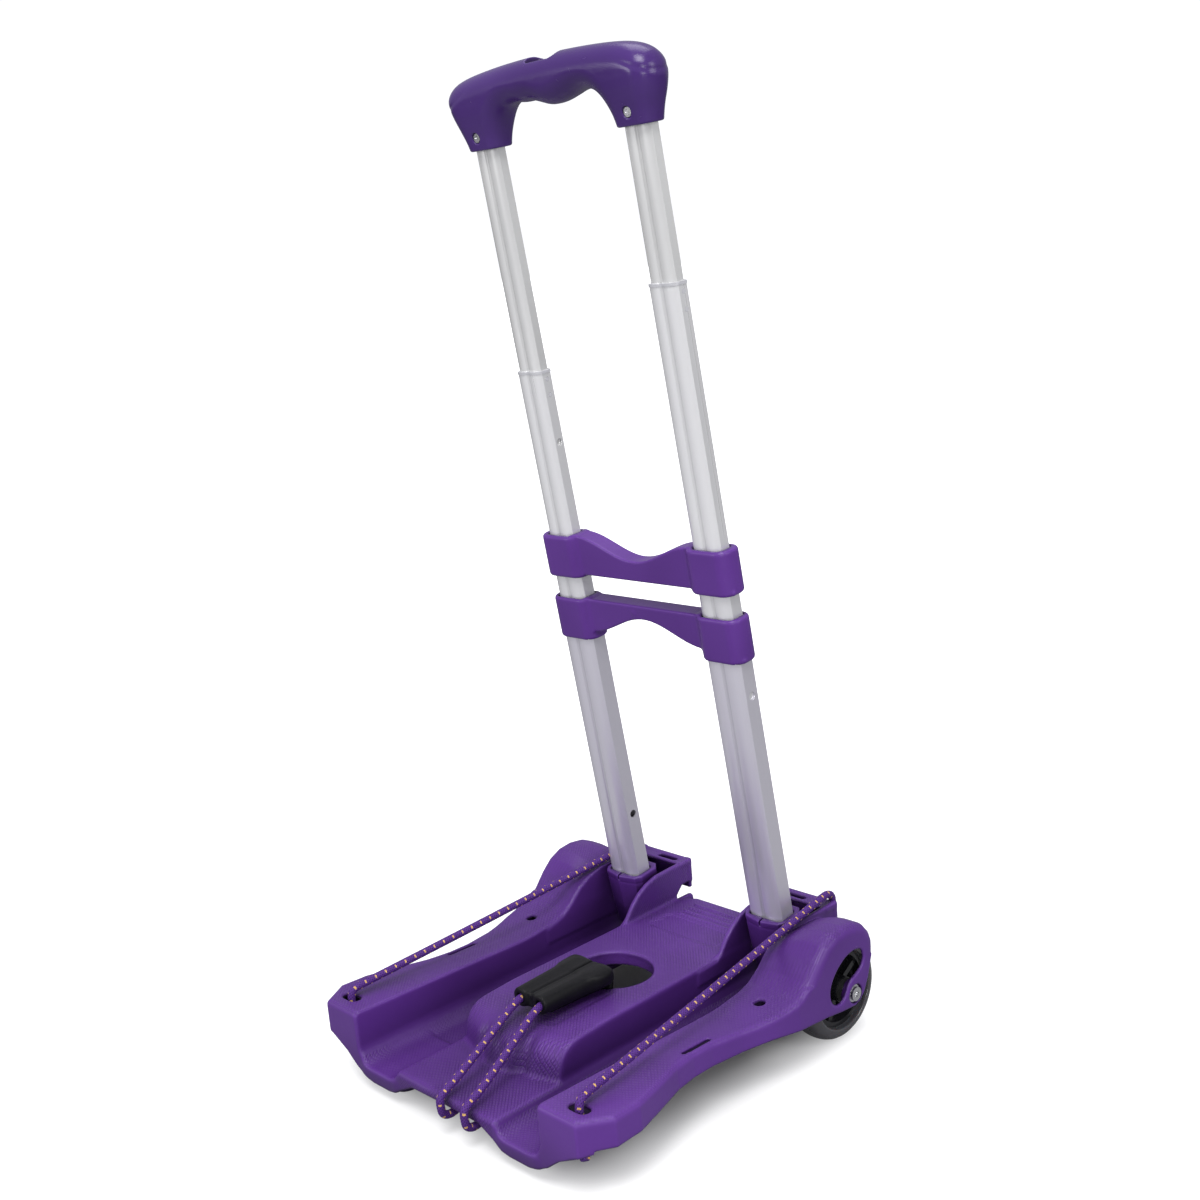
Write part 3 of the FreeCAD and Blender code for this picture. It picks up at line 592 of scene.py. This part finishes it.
def above_lower_edge(x, y, z):
    side = np.where(x > 99.0, polygon(y, z, ABOVE_LOWER_EDGE), -20.0)
    edge = np.where(y < -250.0, np.interp(x, FRONT_EDGE_X, FRONT_EDGE_Z) - z, side)
    rear = np.where(np.abs(x - POST_X) < POST_HALF, 15.2, 45.0) - z
    return np.where((y > 14.0) & (x <= 99.0), rear, edge)


def post_box(x, y, z):
    """Two ears, the wall behind the leg and the slotted plate on top."""
    inner = meet(polygon(y, z, INNER_EAR), slab(x, 48.8, 2.0), 1.6)
    outer = meet(polygon(y, z, OUTER_EAR), slab(x, 97.8, 1.8), 1.6)
    rear = meet(slab(y, 37.4, 1.6), slab(x, POST_X, 26.0), 1.2)
    rear = meet(rear, slab(z, 70.0, 12.0), 1.4)
    plate = meet(slab(z, 80.5, 1.5), round_box(x - POST_X, y - 32.5, POST_HALF, 6.5, 2.0), 1.2)
    plate = cut(plate, round_box(x - 66.0, y - 32.0, 10.0, 2.2, 2.1), 0.8)
    return join(join(inner, outer, 2.0), join(rear, plate, 2.0), 2.0)


def cut_openings(solid, x, y, z, from_axle):
    oval = length(x / OPENING_HALF_X, (y - OPENING_Y) / OPENING_HALF_Y)
    oval = (oval - 1.0) * OPENING_HALF_Y
    rim = meet(meet(slab(oval, 1.2, 1.2), slab(z, 48.0, 5.0), 0.8), -106.0 - y, 3.0)
    solid = cut(join(solid, rim, 2.0), oval, 2.6)
    # outline, where the cut starts, blend within the tool, blend with the solid
    for outline, start, blend, edge in (
            (round_box(x - CORD_X, y + 244.4, 8.0, 4.5, 4.4), 48.0 - z, 1.0, 1.6),
            (length(x - 118.1, y + 73.0) - 4.0, 40.0 - z, 1.0, 1.2),
            (round_box(x - 121.8, y + 141.5, 1.7, 13.5, 1.6), 45.0 - z, 1.0, 0.9),
            (polygon(y, z, KIDNEY), 136.0 - x, 1.0, 2.6),
            (from_axle - 7.0, 141.2 - x, 0.5, 0.8),
            (from_axle - 4.1, 97.0 - x, 0.5, 0.5)):
        solid = cut(solid, meet(outline, start, blend), edge)
    return solid


def base_field(x, y, z):
    form = envelope(x, y, z)
    solid = cut(form, form + WALL, 0.8)
    solid = meet(solid, above_lower_edge(x, y, z), 1.6)
    foot_half = 13.0 + 0.45 * np.clip(z, 0, 14)
    solid = join(solid, meet(polygon(y, z, FOOT), slab(x, TROUGH_X, foot_half), 6.0), 5.0)
    solid = join(solid, post_box(x, y, z), 3.0)
    from_axle = length(y, z - AXLE_HEIGHT)
    inner_boss = meet(from_axle - 9.5, slab(x, 102.0, 4.2), 1.2)
    outer_boss = meet(from_axle - 10.5, slab(x, 139.6, 1.5), 1.0)
    solid = join(solid, join(inner_boss, outer_boss, 1.0), 1.5)
    for i in range(4):                # tread ribs at the rear
        rib = meet(slab(y, 2.0 + 6.2 * i, 1.1), slab(x, 0.0, 28.0), 0.8)
        solid = join(solid, meet(rib, slab(z, 53.6, 1.3), 0.8), 0.9)
    solid = cut_openings(solid, x, y, z, from_axle)
    # room for the wheel, open behind and below
    room = np.minimum(from_axle - WHEEL_ROOM, np.maximum(-y + 4.0, z - 66.0))
    return cut(solid, np.maximum(room, slab(x, WHEEL_X, WHEEL_HALF)), 0.8)


moulding("platform_shell", base_field, (0.0, -263.0, -3.0), (147.5, 42.0, 95.0),
         1.25, BASE, "base_shell", "purple_moulding", "base", mirror=True)

# ---------------------------------------------------------------- handle, in the leg frame
# outer width and depth of each tube stage
TUBE_SIZE = {"lower": (30.6, 18.0), "third": (28.4, 15.8), "second": (25.8, 13.3),
             "top": (23.0, 10.8)}
# socket outline: x from the leg, depth
CUP = [(-19.3, -7), (-15.5, -12), (0, -15.2), (15.5, -12), (19.3, -7), (19.3, 9),
       (14, 14.8), (-14, 14.8), (-19.3, 9)]
# grip outline: x, height
GRIP_OUTLINE = cut_corners(
    [(-87.3, 540), (-87.6, 558), (-91.6, 570), (-96.6, 582), (-99.0, 591), (-97.2, 599.0),
     (-90, 604.6), (-78, 607.4), (-60, 609.4), (-40, 610.9), (-17.7, 611.8), (7.7, 612.2),
     (35, 611.8), (58, 610.6), (75, 608.6), (87, 604.8), (94.6, 598.2), (97.2, 589.5),
     (95.2, 579), (90.8, 568), (88.0, 557), (87.6, 540), (57.4, 540), (57.0, 557),
     (54.8, 567.5), (50.2, 577.0), (44.5, 583.0), (37, 585.8), (28, 585.2), (19, 582.6),
     (9.0, 580.3), (0.0, 580.0), (-8, 582.6), (-16, 585.0), (-24, 584.6), (-33, 585.8),
     (-41, 584.4), (-47.5, 579.0), (-53, 569), (-56.4, 558), (-57.0, 540)], 2)
# half depth of the grip at each height
GRIP_HEIGHTS = [556, 561, 568, 576, 583, 588, 594]
GRIP_HALF_DEPTHS = [9.9, 10.2, 11.3, 13.2, 14.6, 15.2, 15.5]


def tube_space(x, depth, stage, gap):
    width, thickness = TUBE_SIZE[stage]
    return round_box(x, depth, width / 2 + gap, thickness / 2 + gap, 3.4)


def socket(leg_x):
    def field(x, depth, height):
        x = x - leg_x
        taper_x = 1 + 0.0014 * np.minimum(height, 0)
        taper_depth = np.where(height > -28, 1 + 0.0025 * height,
                               0.93 + 0.0095 * (height + 28))
        solid = polygon(x / taper_x, depth / taper_depth, CUP) * 0.94
        solid = meet(meet(solid, height, 1.6), -50 - height, 3.0)
        bore = meet(tube_space(x, depth, "lower", 0.12), -26 - height, 0.3)
        solid = cut(solid, bore, 0.9)
        # slit at the front of the rim, and a shallow groove below the rim
        slit = meet(slab(x, 0.0, 0.7), depth + 9.5, 0.3)
        solid = cut(solid, meet(slit, -4.2 - height, 0.3), 0.5)
        return solid + 0.25 * np.exp(-((height + 5.5) / 0.8) ** 2)
    return field


def bracket(bottom, top, dipped, outer, inner, lip):
    """Two collars and a crossbar, its top dipped or its underside arched in the middle."""
    def field(x, depth, height):
        across = np.abs(x)
        from_leg = across - LEG_X
        collar = meet(round_box(from_leg, depth, 19.2, 11.2, 9.5),
                      slab(height, (bottom + top) / 2, (top - bottom) / 2), 2.8)
        wave = 0.5 + 0.5 * np.cos(np.pi * np.minimum(across, 57) / 57.0)
        if dipped:
            bar_top, bar_bottom = top + 0.2 - 15.2 * wave, bottom + 2.2
        else:
            bar_top, bar_bottom = top - 0.3, bottom + 6.6 + 15.3 * wave
        bar = meet(np.maximum(height - bar_top, bar_bottom - height) * 0.92,
                   slab(depth, 0.8, 7.3), 1.5)
        if not dipped:                # round knob on the bar
            knob = length(x + 9, height - (bottom + 26.5), depth + 2.5) - 4.3
            bar = join(bar, knob, 1.2)
        solid = join(collar, meet(bar, across - 60.0, 1.0), 2.6)
        pip = length(from_leg - 17.6, depth + 4.5, height - bottom - 2.6) - 1.7
        solid = join(solid, pip, 1.2)
        upper_bore = meet(tube_space(from_leg, depth, inner, 0.2), bottom + 2 - height, 0.2)
        lower_bore = meet(tube_space(from_leg, depth, outer, 0.12), height - (top - lip), 0.3)
        return cut(cut(solid, upper_bore, 1.2), lower_bore, 0.8)
    return field


def grip_field(x, depth, height):
    outline = polygon(x, height, GRIP_OUTLINE)
    half_depth = np.interp(height, GRIP_HEIGHTS, GRIP_HALF_DEPTHS)
    radius = half_depth - 1.0
    solid = round_corner(outline + radius, np.abs(depth) - half_depth + radius, radius) * 0.92
    # soft crease round the shoulders
    off_centre = np.abs(x - 2)
    crease = np.exp(-((height - 591.5 + 0.45 * (off_centre - 90)) / 1.6) ** 2)
    solid = solid + 0.35 * crease * np.clip((off_centre - 70) / 12, 0, 1)
    solid = meet(solid, 559.3 - height, 1.6)
    # saddle for the thumb, then the button well
    saddle = length((x + 3.0) / 9.5, (height - 614.6) / 5.0, (depth + 1.0) / 9.5)
    solid = cut(solid, (saddle - 1) * 5.0, 1.8)
    well = meet(round_box(x, depth, 15.0, 10.0, 6.0), 594.8 - height, 0.4)
    solid = cut(solid, well, 0.7)
    for _, side in SIDES:             # leg pocket, upright bore, front counterbore
        from_leg = x - side * LEG_X
        pocket = meet(tube_space(from_leg, depth, "top", 0.15), height - 588.5, 0.3)
        solid = cut(solid, pocket, 0.7)
        bore = meet(length(from_leg, depth) - 3.5, slab(height, 592.0, 9.5), 0.3)
        solid = cut(solid, bore, 0.4)
        counterbore = meet(length(from_leg, height - 568) - 3.5, depth + 8.8, 0.3)
        solid = cut(solid, counterbore, 0.8)
    return solid


def button_field(x, depth, height):
    top = 607.6 + 0.006 * (x + 1.0) ** 2 - 0.03 * depth ** 2
    solid = meet(round_box(x + 1.0, depth, 12.8, 8.8, 5.0), height - top, 1.6)
    return meet(solid, 599.6 - height, 0.6)


for side_name, side in SIDES:
    leg_x = side * LEG_X
    moulding(side_name + "_socket_moulding", socket(leg_x), (leg_x - 21, -17, -53),
             (leg_x + 21, 17, 2.5), 0.8 * COARSEN, SOCKET, side_name + "_socket",
             "purple_moulding", "lower_frame", in_leg_frame=True)

# name, field, low and high corners, grid step, material, node, slot, body
HANDLE_PIECES = (
    ("lower_bracket_moulding", bracket(200, 232.8, False, "lower", "third", lip=4),
     (-94.5, -15, 197), (94.5, 15, 236), 0.9, BRACKET,
     "lower_bracket", "purple_moulding", "lower_frame"),
    ("upper_bracket_moulding", bracket(249.15, 281.5, True, "third", "second", lip=2.5),
     (-94.5, -15, 246), (94.5, 15, 285), 0.9, BRACKET,
     "upper_bracket", "purple_moulding", "third_stage"),
    ("grip_moulding", grip_field, (-102, -17.5, 556), (101, 17.5, 615), 0.85, GRIP,
     "grip", "purple_grip", "grip"),
    ("thumb_button", button_field, (-17, -12, 597), (15, 12, 612), 0.7, GRIP,
     "release_button", "purple_button", "button"))
for name, field, low, high, step, *rest in HANDLE_PIECES:
    moulding(name, field, low, high, step * COARSEN, *rest, in_leg_frame=True)


# ---------------------------------------------------------------- hook
def hook_field(x, y, z):
    across = np.abs(x - HOOK_X)
    back = np.clip((y + 181.0) / 58.0, 0, 1)     # 0 at the front, 1 at the back
    sleeve = length(across - (SLEEVE_X + 1.5 * back), z - SLEEVE_Z) - (6.7 + 0.6 * back)
    sleeve = meet(meet(sleeve, -181.0 - y, 1.4), y + 119.5, 5.0)
    web = meet(across - (13.0 + 6.0 * back), slab(z, 64.4, 5.6 + 0.3 * back), 3.5)
    web = meet(meet(web, -179.5 - y, 1.4), y + 118.5, 5.0)
    solid = join(sleeve, web, 2.4)
    belly = meet(across - (10 + 4 * back), slab(z, 59.0, 4.6), 2.5)
    solid = join(solid, meet(belly, slab(y, -146.0, 26.5), 3.0), 3.0)
    # flared shoulder at the rear
    shoulder = meet(across - 21.5 + 0.02 * (y + 127) ** 2, slab(z, 65.0, 4.6), 4.0)
    solid = join(solid, meet(shoulder, slab(y, -128.5, 10.5), 5.0), 4.0)
    # claw turning down and forward under the deck
    claw_y, claw_z = y + 124.0, z - 55.6
    claw = np.abs(length(claw_y, claw_z) - 9.2) - 2.1
    claw = np.where((claw_y < -3.0) & (claw_z > -3.0), 8.0, claw)
    claw = meet(meet(claw, across - 14.0, 3.0), -127.5 - y, 1.5)
    solid = join(solid, claw, 2.5)
    # groove along the top, cord bores, and clearance for the deck
    solid = cut(solid, meet(across - 0.8, 69.0 - z, 0.8), 1.3)
    bore = meet(length(across - SLEEVE_X, z - SLEEVE_Z) - 3.15, y + 138.0, 0.5)
    solid = cut(solid, bore, 1.0)
    deck = meet(meet(z - 54.3, 50.4 - z, 0.4), y + 119.4, 0.4)
    return cut(solid, deck, 0.8)


moulding("double_sleeve_hook", hook_field, (-22, -183.5, 42), (28, -111, 75),
         0.75 * COARSEN, HOOK, "cord_hook", "black_hook", "hook")

# ---------------------------------------------------------------- braided cords
CORD_RADIUS, KNOT_RADIUS = 2.85, 3.3
CORD_STEP = 0.6 * 1
CORD_SIDES = 28
CORD_END = 1.2                        # length over which an end narrows


def smooth_path(points):
    """Evenly spaced points on a path with its corners cut, and the length to each."""
    path = np.array(points, float)
    for _ in range(3):
        near = path[:-1] * 0.75 + path[1:] * 0.25
        far = path[:-1] * 0.25 + path[1:] * 0.75
        path = np.concatenate([path[:1], np.stack([near, far], 1).reshape(-1, 3), path[-1:]])
    reached = np.concatenate([[0], np.cumsum(np.linalg.norm(np.diff(path, axis=0), axis=1))])
    along = np.linspace(0, reached[-1], max(8, int(reached[-1] / CORD_STEP)))
    return np.stack([np.interp(along, reached, path[:, i]) for i in range(3)], 1), along


def cord(name, points, start, radius=CORD_RADIUS):
    """Braided tube; start shifts the pattern along it, in mm."""
    centres, along = smooth_path(points)
    tangents = np.gradient(centres, axis=0)
    tangents /= np.linalg.norm(tangents, axis=1)[:, None]
    normal = np.cross(tangents[0], [0.0, 0.3, 1.0])
    normal /= np.linalg.norm(normal)
    angles = np.linspace(0, 2 * np.pi, CORD_SIDES, endpoint=False)
    turn = angles / (2 * np.pi)
    verts, braid = [], []
    for centre, tangent, at in zip(centres, tangents, along):
        normal = normal - tangent * (normal @ tangent)
        normal /= np.linalg.norm(normal)
        binormal = np.cross(tangent, normal)
        pitches = (at + start) / BRAID_PITCH
        wave = np.maximum(np.sin(2 * np.pi * (pitches + turn * BRAID_STRANDS)),
                          np.sin(2 * np.pi * (pitches - turn * BRAID_STRANDS)))
        radii = radius * (0.965 + 0.035 * wave)
        to_end = min(at, along[-1] - at)
        if to_end < CORD_END:
            radii = radii * (0.80 + 0.20 * math.sqrt(max(to_end, 0) / CORD_END))
        verts.append(centre + radii[:, None] * (np.cos(angles)[:, None] * normal
                                                + np.sin(angles)[:, None] * binormal))
        braid.append(np.stack([np.full(CORD_SIDES, at + start), turn,
                               np.zeros(CORD_SIDES)], 1))
    faces = []
    for row in range(0, (len(centres) - 1) * CORD_SIDES, CORD_SIDES):
        for j in range(CORD_SIDES):
            k = (j + 1) % CORD_SIDES
            faces.append((row + j, row + k, row + CORD_SIDES + k, row + CORD_SIDES + j))
    faces.append(tuple(range(CORD_SIDES))[::-1])
    faces.append(tuple((len(centres) - 1) * CORD_SIDES + j for j in range(CORD_SIDES)))
    ob = mesh_object(name, to_world(np.concatenate(verts)), faces, CORD)
    attribute = ob.data.attributes.new("braid", "FLOAT_VECTOR", "POINT")
    attribute.data.foreach_set("vector", np.concatenate(braid).astype(np.float32).ravel())
    return ob


def sagging_run(a, b, count, sag=0.6):
    a, b = np.array(a, float), np.array(b, float)
    return [tuple(a + (b - a) * t - np.array([0, 0, sag * 4 * t * (1 - t)]))
            for t in np.linspace(0, 1, count)]


# cord paths for the right side: x, y, z
FRONT_RISE = [(CORD_X, -244.9, 38), (CORD_X, -244.9, 50), (CORD_X, -244.9, 57.5),
              (119.9, -242.6, 62.0)]
REAR_DROP = {
    "right": [(96.0, 26, 89.2), (94.6, 34.5, 89.0), (93.4, 41.4, 85.6), (93.0, 42.2, 78),
              (93.0, 42.2, 67)],
    "left": [(96.9, 23, 88.4), (96.6, 28.5, 84.6), (96.4, 31, 78), (96.4, 31.5, 70)]}
KNOT = [(CORD_X, -244.9, 46), (124.5, -247.5, 42), (120.5, -250.5, 39),
        (115.6, -246.5, 39.5), (117.5, -240.2, 41.5), (124.2, -241.0, 40),
        (126.0, -247.5, 37), (128.5, -251.5, 33.5), (131.5, -253.6, 29.5)]

for side_name, side in SIDES:
    path = (FRONT_RISE + sagging_run((118.9, -234, 63.2), (97.4, 16, 88.6), 9)
            + REAR_DROP[side_name])
    ob = cord(side_name + "_side_cord_braid", [(side * x, y, z) for x, y, z in path],
              start=3.0 * side)
    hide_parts(side_name + "_side_cord")
    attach(ob, "base")
    # knot and cut tail under the rail
    ob = cord(side_name + "_cord_knot", [(side * x, y, z) for x, y, z in KNOT],
              start=11.0, radius=KNOT_RADIUS)
    if side_name == "right":
        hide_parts("cord_knots")
    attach(ob, "base")

# strands from the hook's sleeves over the front edge; front_x is where each crosses it
for side_name, side, front_x in (("left", -1, 3.0), ("right", 1, 28.0)):
    bore_x = HOOK_X + side * SLEEVE_X
    path = [(bore_x, -141, SLEEVE_Z), (bore_x, -160, SLEEVE_Z), (bore_x, -178, 64.6)]
    path += sagging_run((bore_x + (front_x - bore_x) * 0.16, -190, 62.0),
                        (front_x, -251, 36.4), 6)
    path += [(front_x, -258.5, 33.6), (front_x + 0.3, -264.6, 30.2),
             (front_x + 0.4, -265.0, 24.0), (front_x, -263.5, 17.0), (front_x, -256, 14.4),
             (front_x, -245, 18.6)]
    ob = cord("hook_strand_" + side_name, path, start=5.0 * side)
    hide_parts("hook_cord")
    tuple(to_world([(front_x, -250, 36)])[0])
    tuple(to_world([(bore_x, -184, 64)])[0])
    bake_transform(ob)

# ---------------------------------------------------------------- tyres
# half section: x from the tyre's middle, radius
TYRE_HALF = [(0, 38.3), (2.6, 38.2), (5.2, 37.75), (7.6, 36.95), (9.6, 35.6), (11.1, 33.8),
             (12.1, 31.8), (12.5, 30.2), (12.35, 29.3), (11.7, 28.7), (10.0, 28.4),
             (8.3, 28.25), (8.0, 28.1), (4, 28.02)]
TYRE_SEGMENTS = 128


def tyre(name, centre_x):
    section = TYRE_HALF + [(-x, radius) for x, radius in reversed(TYRE_HALF[1:])]
    count = len(section)
    verts, faces = [], []
    for i in range(TYRE_SEGMENTS):
        angle = 2 * math.pi * i / TYRE_SEGMENTS
        ring, following = i * count, (i + 1) % TYRE_SEGMENTS * count
        for j, (x, radius) in enumerate(section):
            k = (j + 1) % count
            verts.append((centre_x + x, radius * math.cos(angle),
                          AXLE_Z + radius * math.sin(angle)))
            faces.append((ring + j, following + j, following + k, ring + k))
    return mesh_object(name, to_world(verts), faces, TYRE)


for side_name, _ in SIDES:
    low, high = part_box(side_name + "_tyre")
    ob = tyre(side_name + "_tyre_urethane", (low.x + high.x) * 500)
    register(ob, side_name + "_tyre", "wheel_tyre", side_name + "_wheel")

# ---------------------------------------------------------------- CAD pieces that stay
# material, endings of the node names, whole node names
CAD_FINISHES = [(material, (stage + "_tube",), ()) for stage, material in TUBES.items()]
CAD_FINISHES += [
    (HUB, ("hub",), ()),
    (BUSH, ("tube_bush",), ()),
    (PLUG, ("plug", "bushings"), ("release_yoke",)),
    (STEEL, ("bolt", "nut", "pin", "rod"), ("grip_screws", "socket_rivets", "yoke_springs"))]

for node_name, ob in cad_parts.items():
    for material, endings, names in CAD_FINISHES:
        if node_name.endswith(endings) or node_name in names:
            slots = ob.data.materials
            if len(slots) == 0:
                slots.append(material)
            for i in range(len(slots)):
                slots[i] = material
            break


# ---------------------------------------------------------------- floor, light, camera
def floor_material(name):
    """Matt floor that, to the camera only, glows brighter away from the cart."""
    t = Nodes(name)
    cloud = t.noise(scale=3.0)
    seen = t.new("ShaderNodeLightPath").outputs["Is Camera Ray"]
    base = t.mix((0.30, 0.30, 0.31), t.mix((0.52, 0.52, 0.52), (0.54, 0.54, 0.54), cloud),
                 seen)
    x, y, _ = t.split()
    # distance outside a rectangle of these half sizes
    squares = [t.math("POWER", t.math("MAXIMUM", t.minus(t.math("ABSOLUTE", axis), half), 0.0),
                      2.0) for axis, half in ((x, 0.085), (y, 0.10))]
    distance = t.math("SQRT", t.plus(*squares))
    near = t.smooth(distance, start=0.0, end=0.07, low=0.0, high=0.72)
    far = t.smooth(distance, start=0.10, end=0.55, low=0.0, high=0.6)
    return t.finish(base=base, rough=0.85, specular=0.0, glow=(0.985, 0.985, 1.0, 1),
                    glow_strength=t.times(seen, t.plus(near, far)))


def make_world():
    """Pale surround, brighter to the camera than as a light."""
    world = bpy.data.worlds.new("studio")
    bpy.context.scene.world = world
    world.use_nodes = True
    tree = world.node_tree
    background = tree.nodes["Background"]
    background.inputs["Color"].default_value = (0.97, 0.975, 1.0, 1)
    path = tree.nodes.new("ShaderNodeLightPath")
    strength = tree.nodes.new("ShaderNodeMapRange")
    strength.inputs["To Min"].default_value = 0.47
    strength.inputs["To Max"].default_value = 1.07
    tree.links.new(path.outputs["Is Camera Ray"], strength.inputs["Value"])
    tree.links.new(strength.outputs["Result"], background.inputs["Strength"])


def area_light(name, place, target, size, power):
    light = bpy.data.lights.new(name, "AREA")
    light.energy = power
    light.size = size
    light.color = (1, 1, 1)
    ob = bpy.data.objects.new(name, light)
    bpy.context.scene.collection.objects.link(ob)
    ob.location = place
    aim = Vector(target) - Vector(place)
    ob.rotation_euler = aim.to_track_quat("-Z", "Y").to_euler()


def make_camera(place, azimuth, elevation, roll):
    """Camera at a place in mm; azimuth is turned from -y toward +x."""
    back = Vector((math.sin(azimuth) * math.cos(elevation),
                   -math.cos(azimuth) * math.cos(elevation), math.sin(elevation)))
    forward = -back
    level = forward.cross(Vector((0, 0, 1))).normalized()
    upright = level.cross(forward)
    right = math.cos(roll) * level + math.sin(roll) * upright
    up = -math.sin(roll) * level + math.cos(roll) * upright
    data = bpy.data.cameras.new("cam")
    camera = bpy.data.objects.new("cam", data)
    bpy.context.scene.collection.objects.link(camera)
    data.sensor_width = 36.0
    data.lens = 46.773
    data.clip_start = 0.01
    data.clip_end = 100
    matrix = Matrix((right, up, back)).transposed().to_4x4()
    matrix.translation = Vector(to_world([place])[0])
    camera.matrix_world = matrix
    bpy.context.scene.camera = camera


FLOOR_HALF, FLOOR_Z = 30.0, -0.0005   # metres
floor_corners = [(x * FLOOR_HALF, y * FLOOR_HALF, FLOOR_Z)
                 for x, y in ((-1, -1), (1, -1), (1, 1), (-1, 1))]
mesh_object("studio_floor", floor_corners, [(0, 1, 2, 3)],
                     floor_material("studio_floor"), smooth=False)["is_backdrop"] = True
make_world()
# name, place and target in metres, size in metres, power in watts
for light in (("key", (0.75, -1.0, 2.2), (0, 0, 0.25), 1.0, 36),
              ("front", (-1.0, -1.9, 0.9), (0, 0, 0.45), 0.7, 13),
              ("camera_side", (1.5, -1.3, 0.55), (0, 0, 0.42), 0.45, 7),
              ("side", (2.0, 0.2, 1.2), (0, 0, 0.3), 0.9, 12),
              ("top", (-0.3, 0.5, 2.4), (0, 0, 0.1), 1.2, 14)):
    area_light(*light)
make_camera((778.0, -801.0, 565.1), azimuth=math.radians(47.136),
            elevation=math.radians(12.658), roll=math.radians(-5.022))
bpy.context.scene.view_settings.view_transform = "Standard"

low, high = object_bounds()
{"cad": [list(cad_low), list(cad_high)], "visual": [list(low), list(high)]}
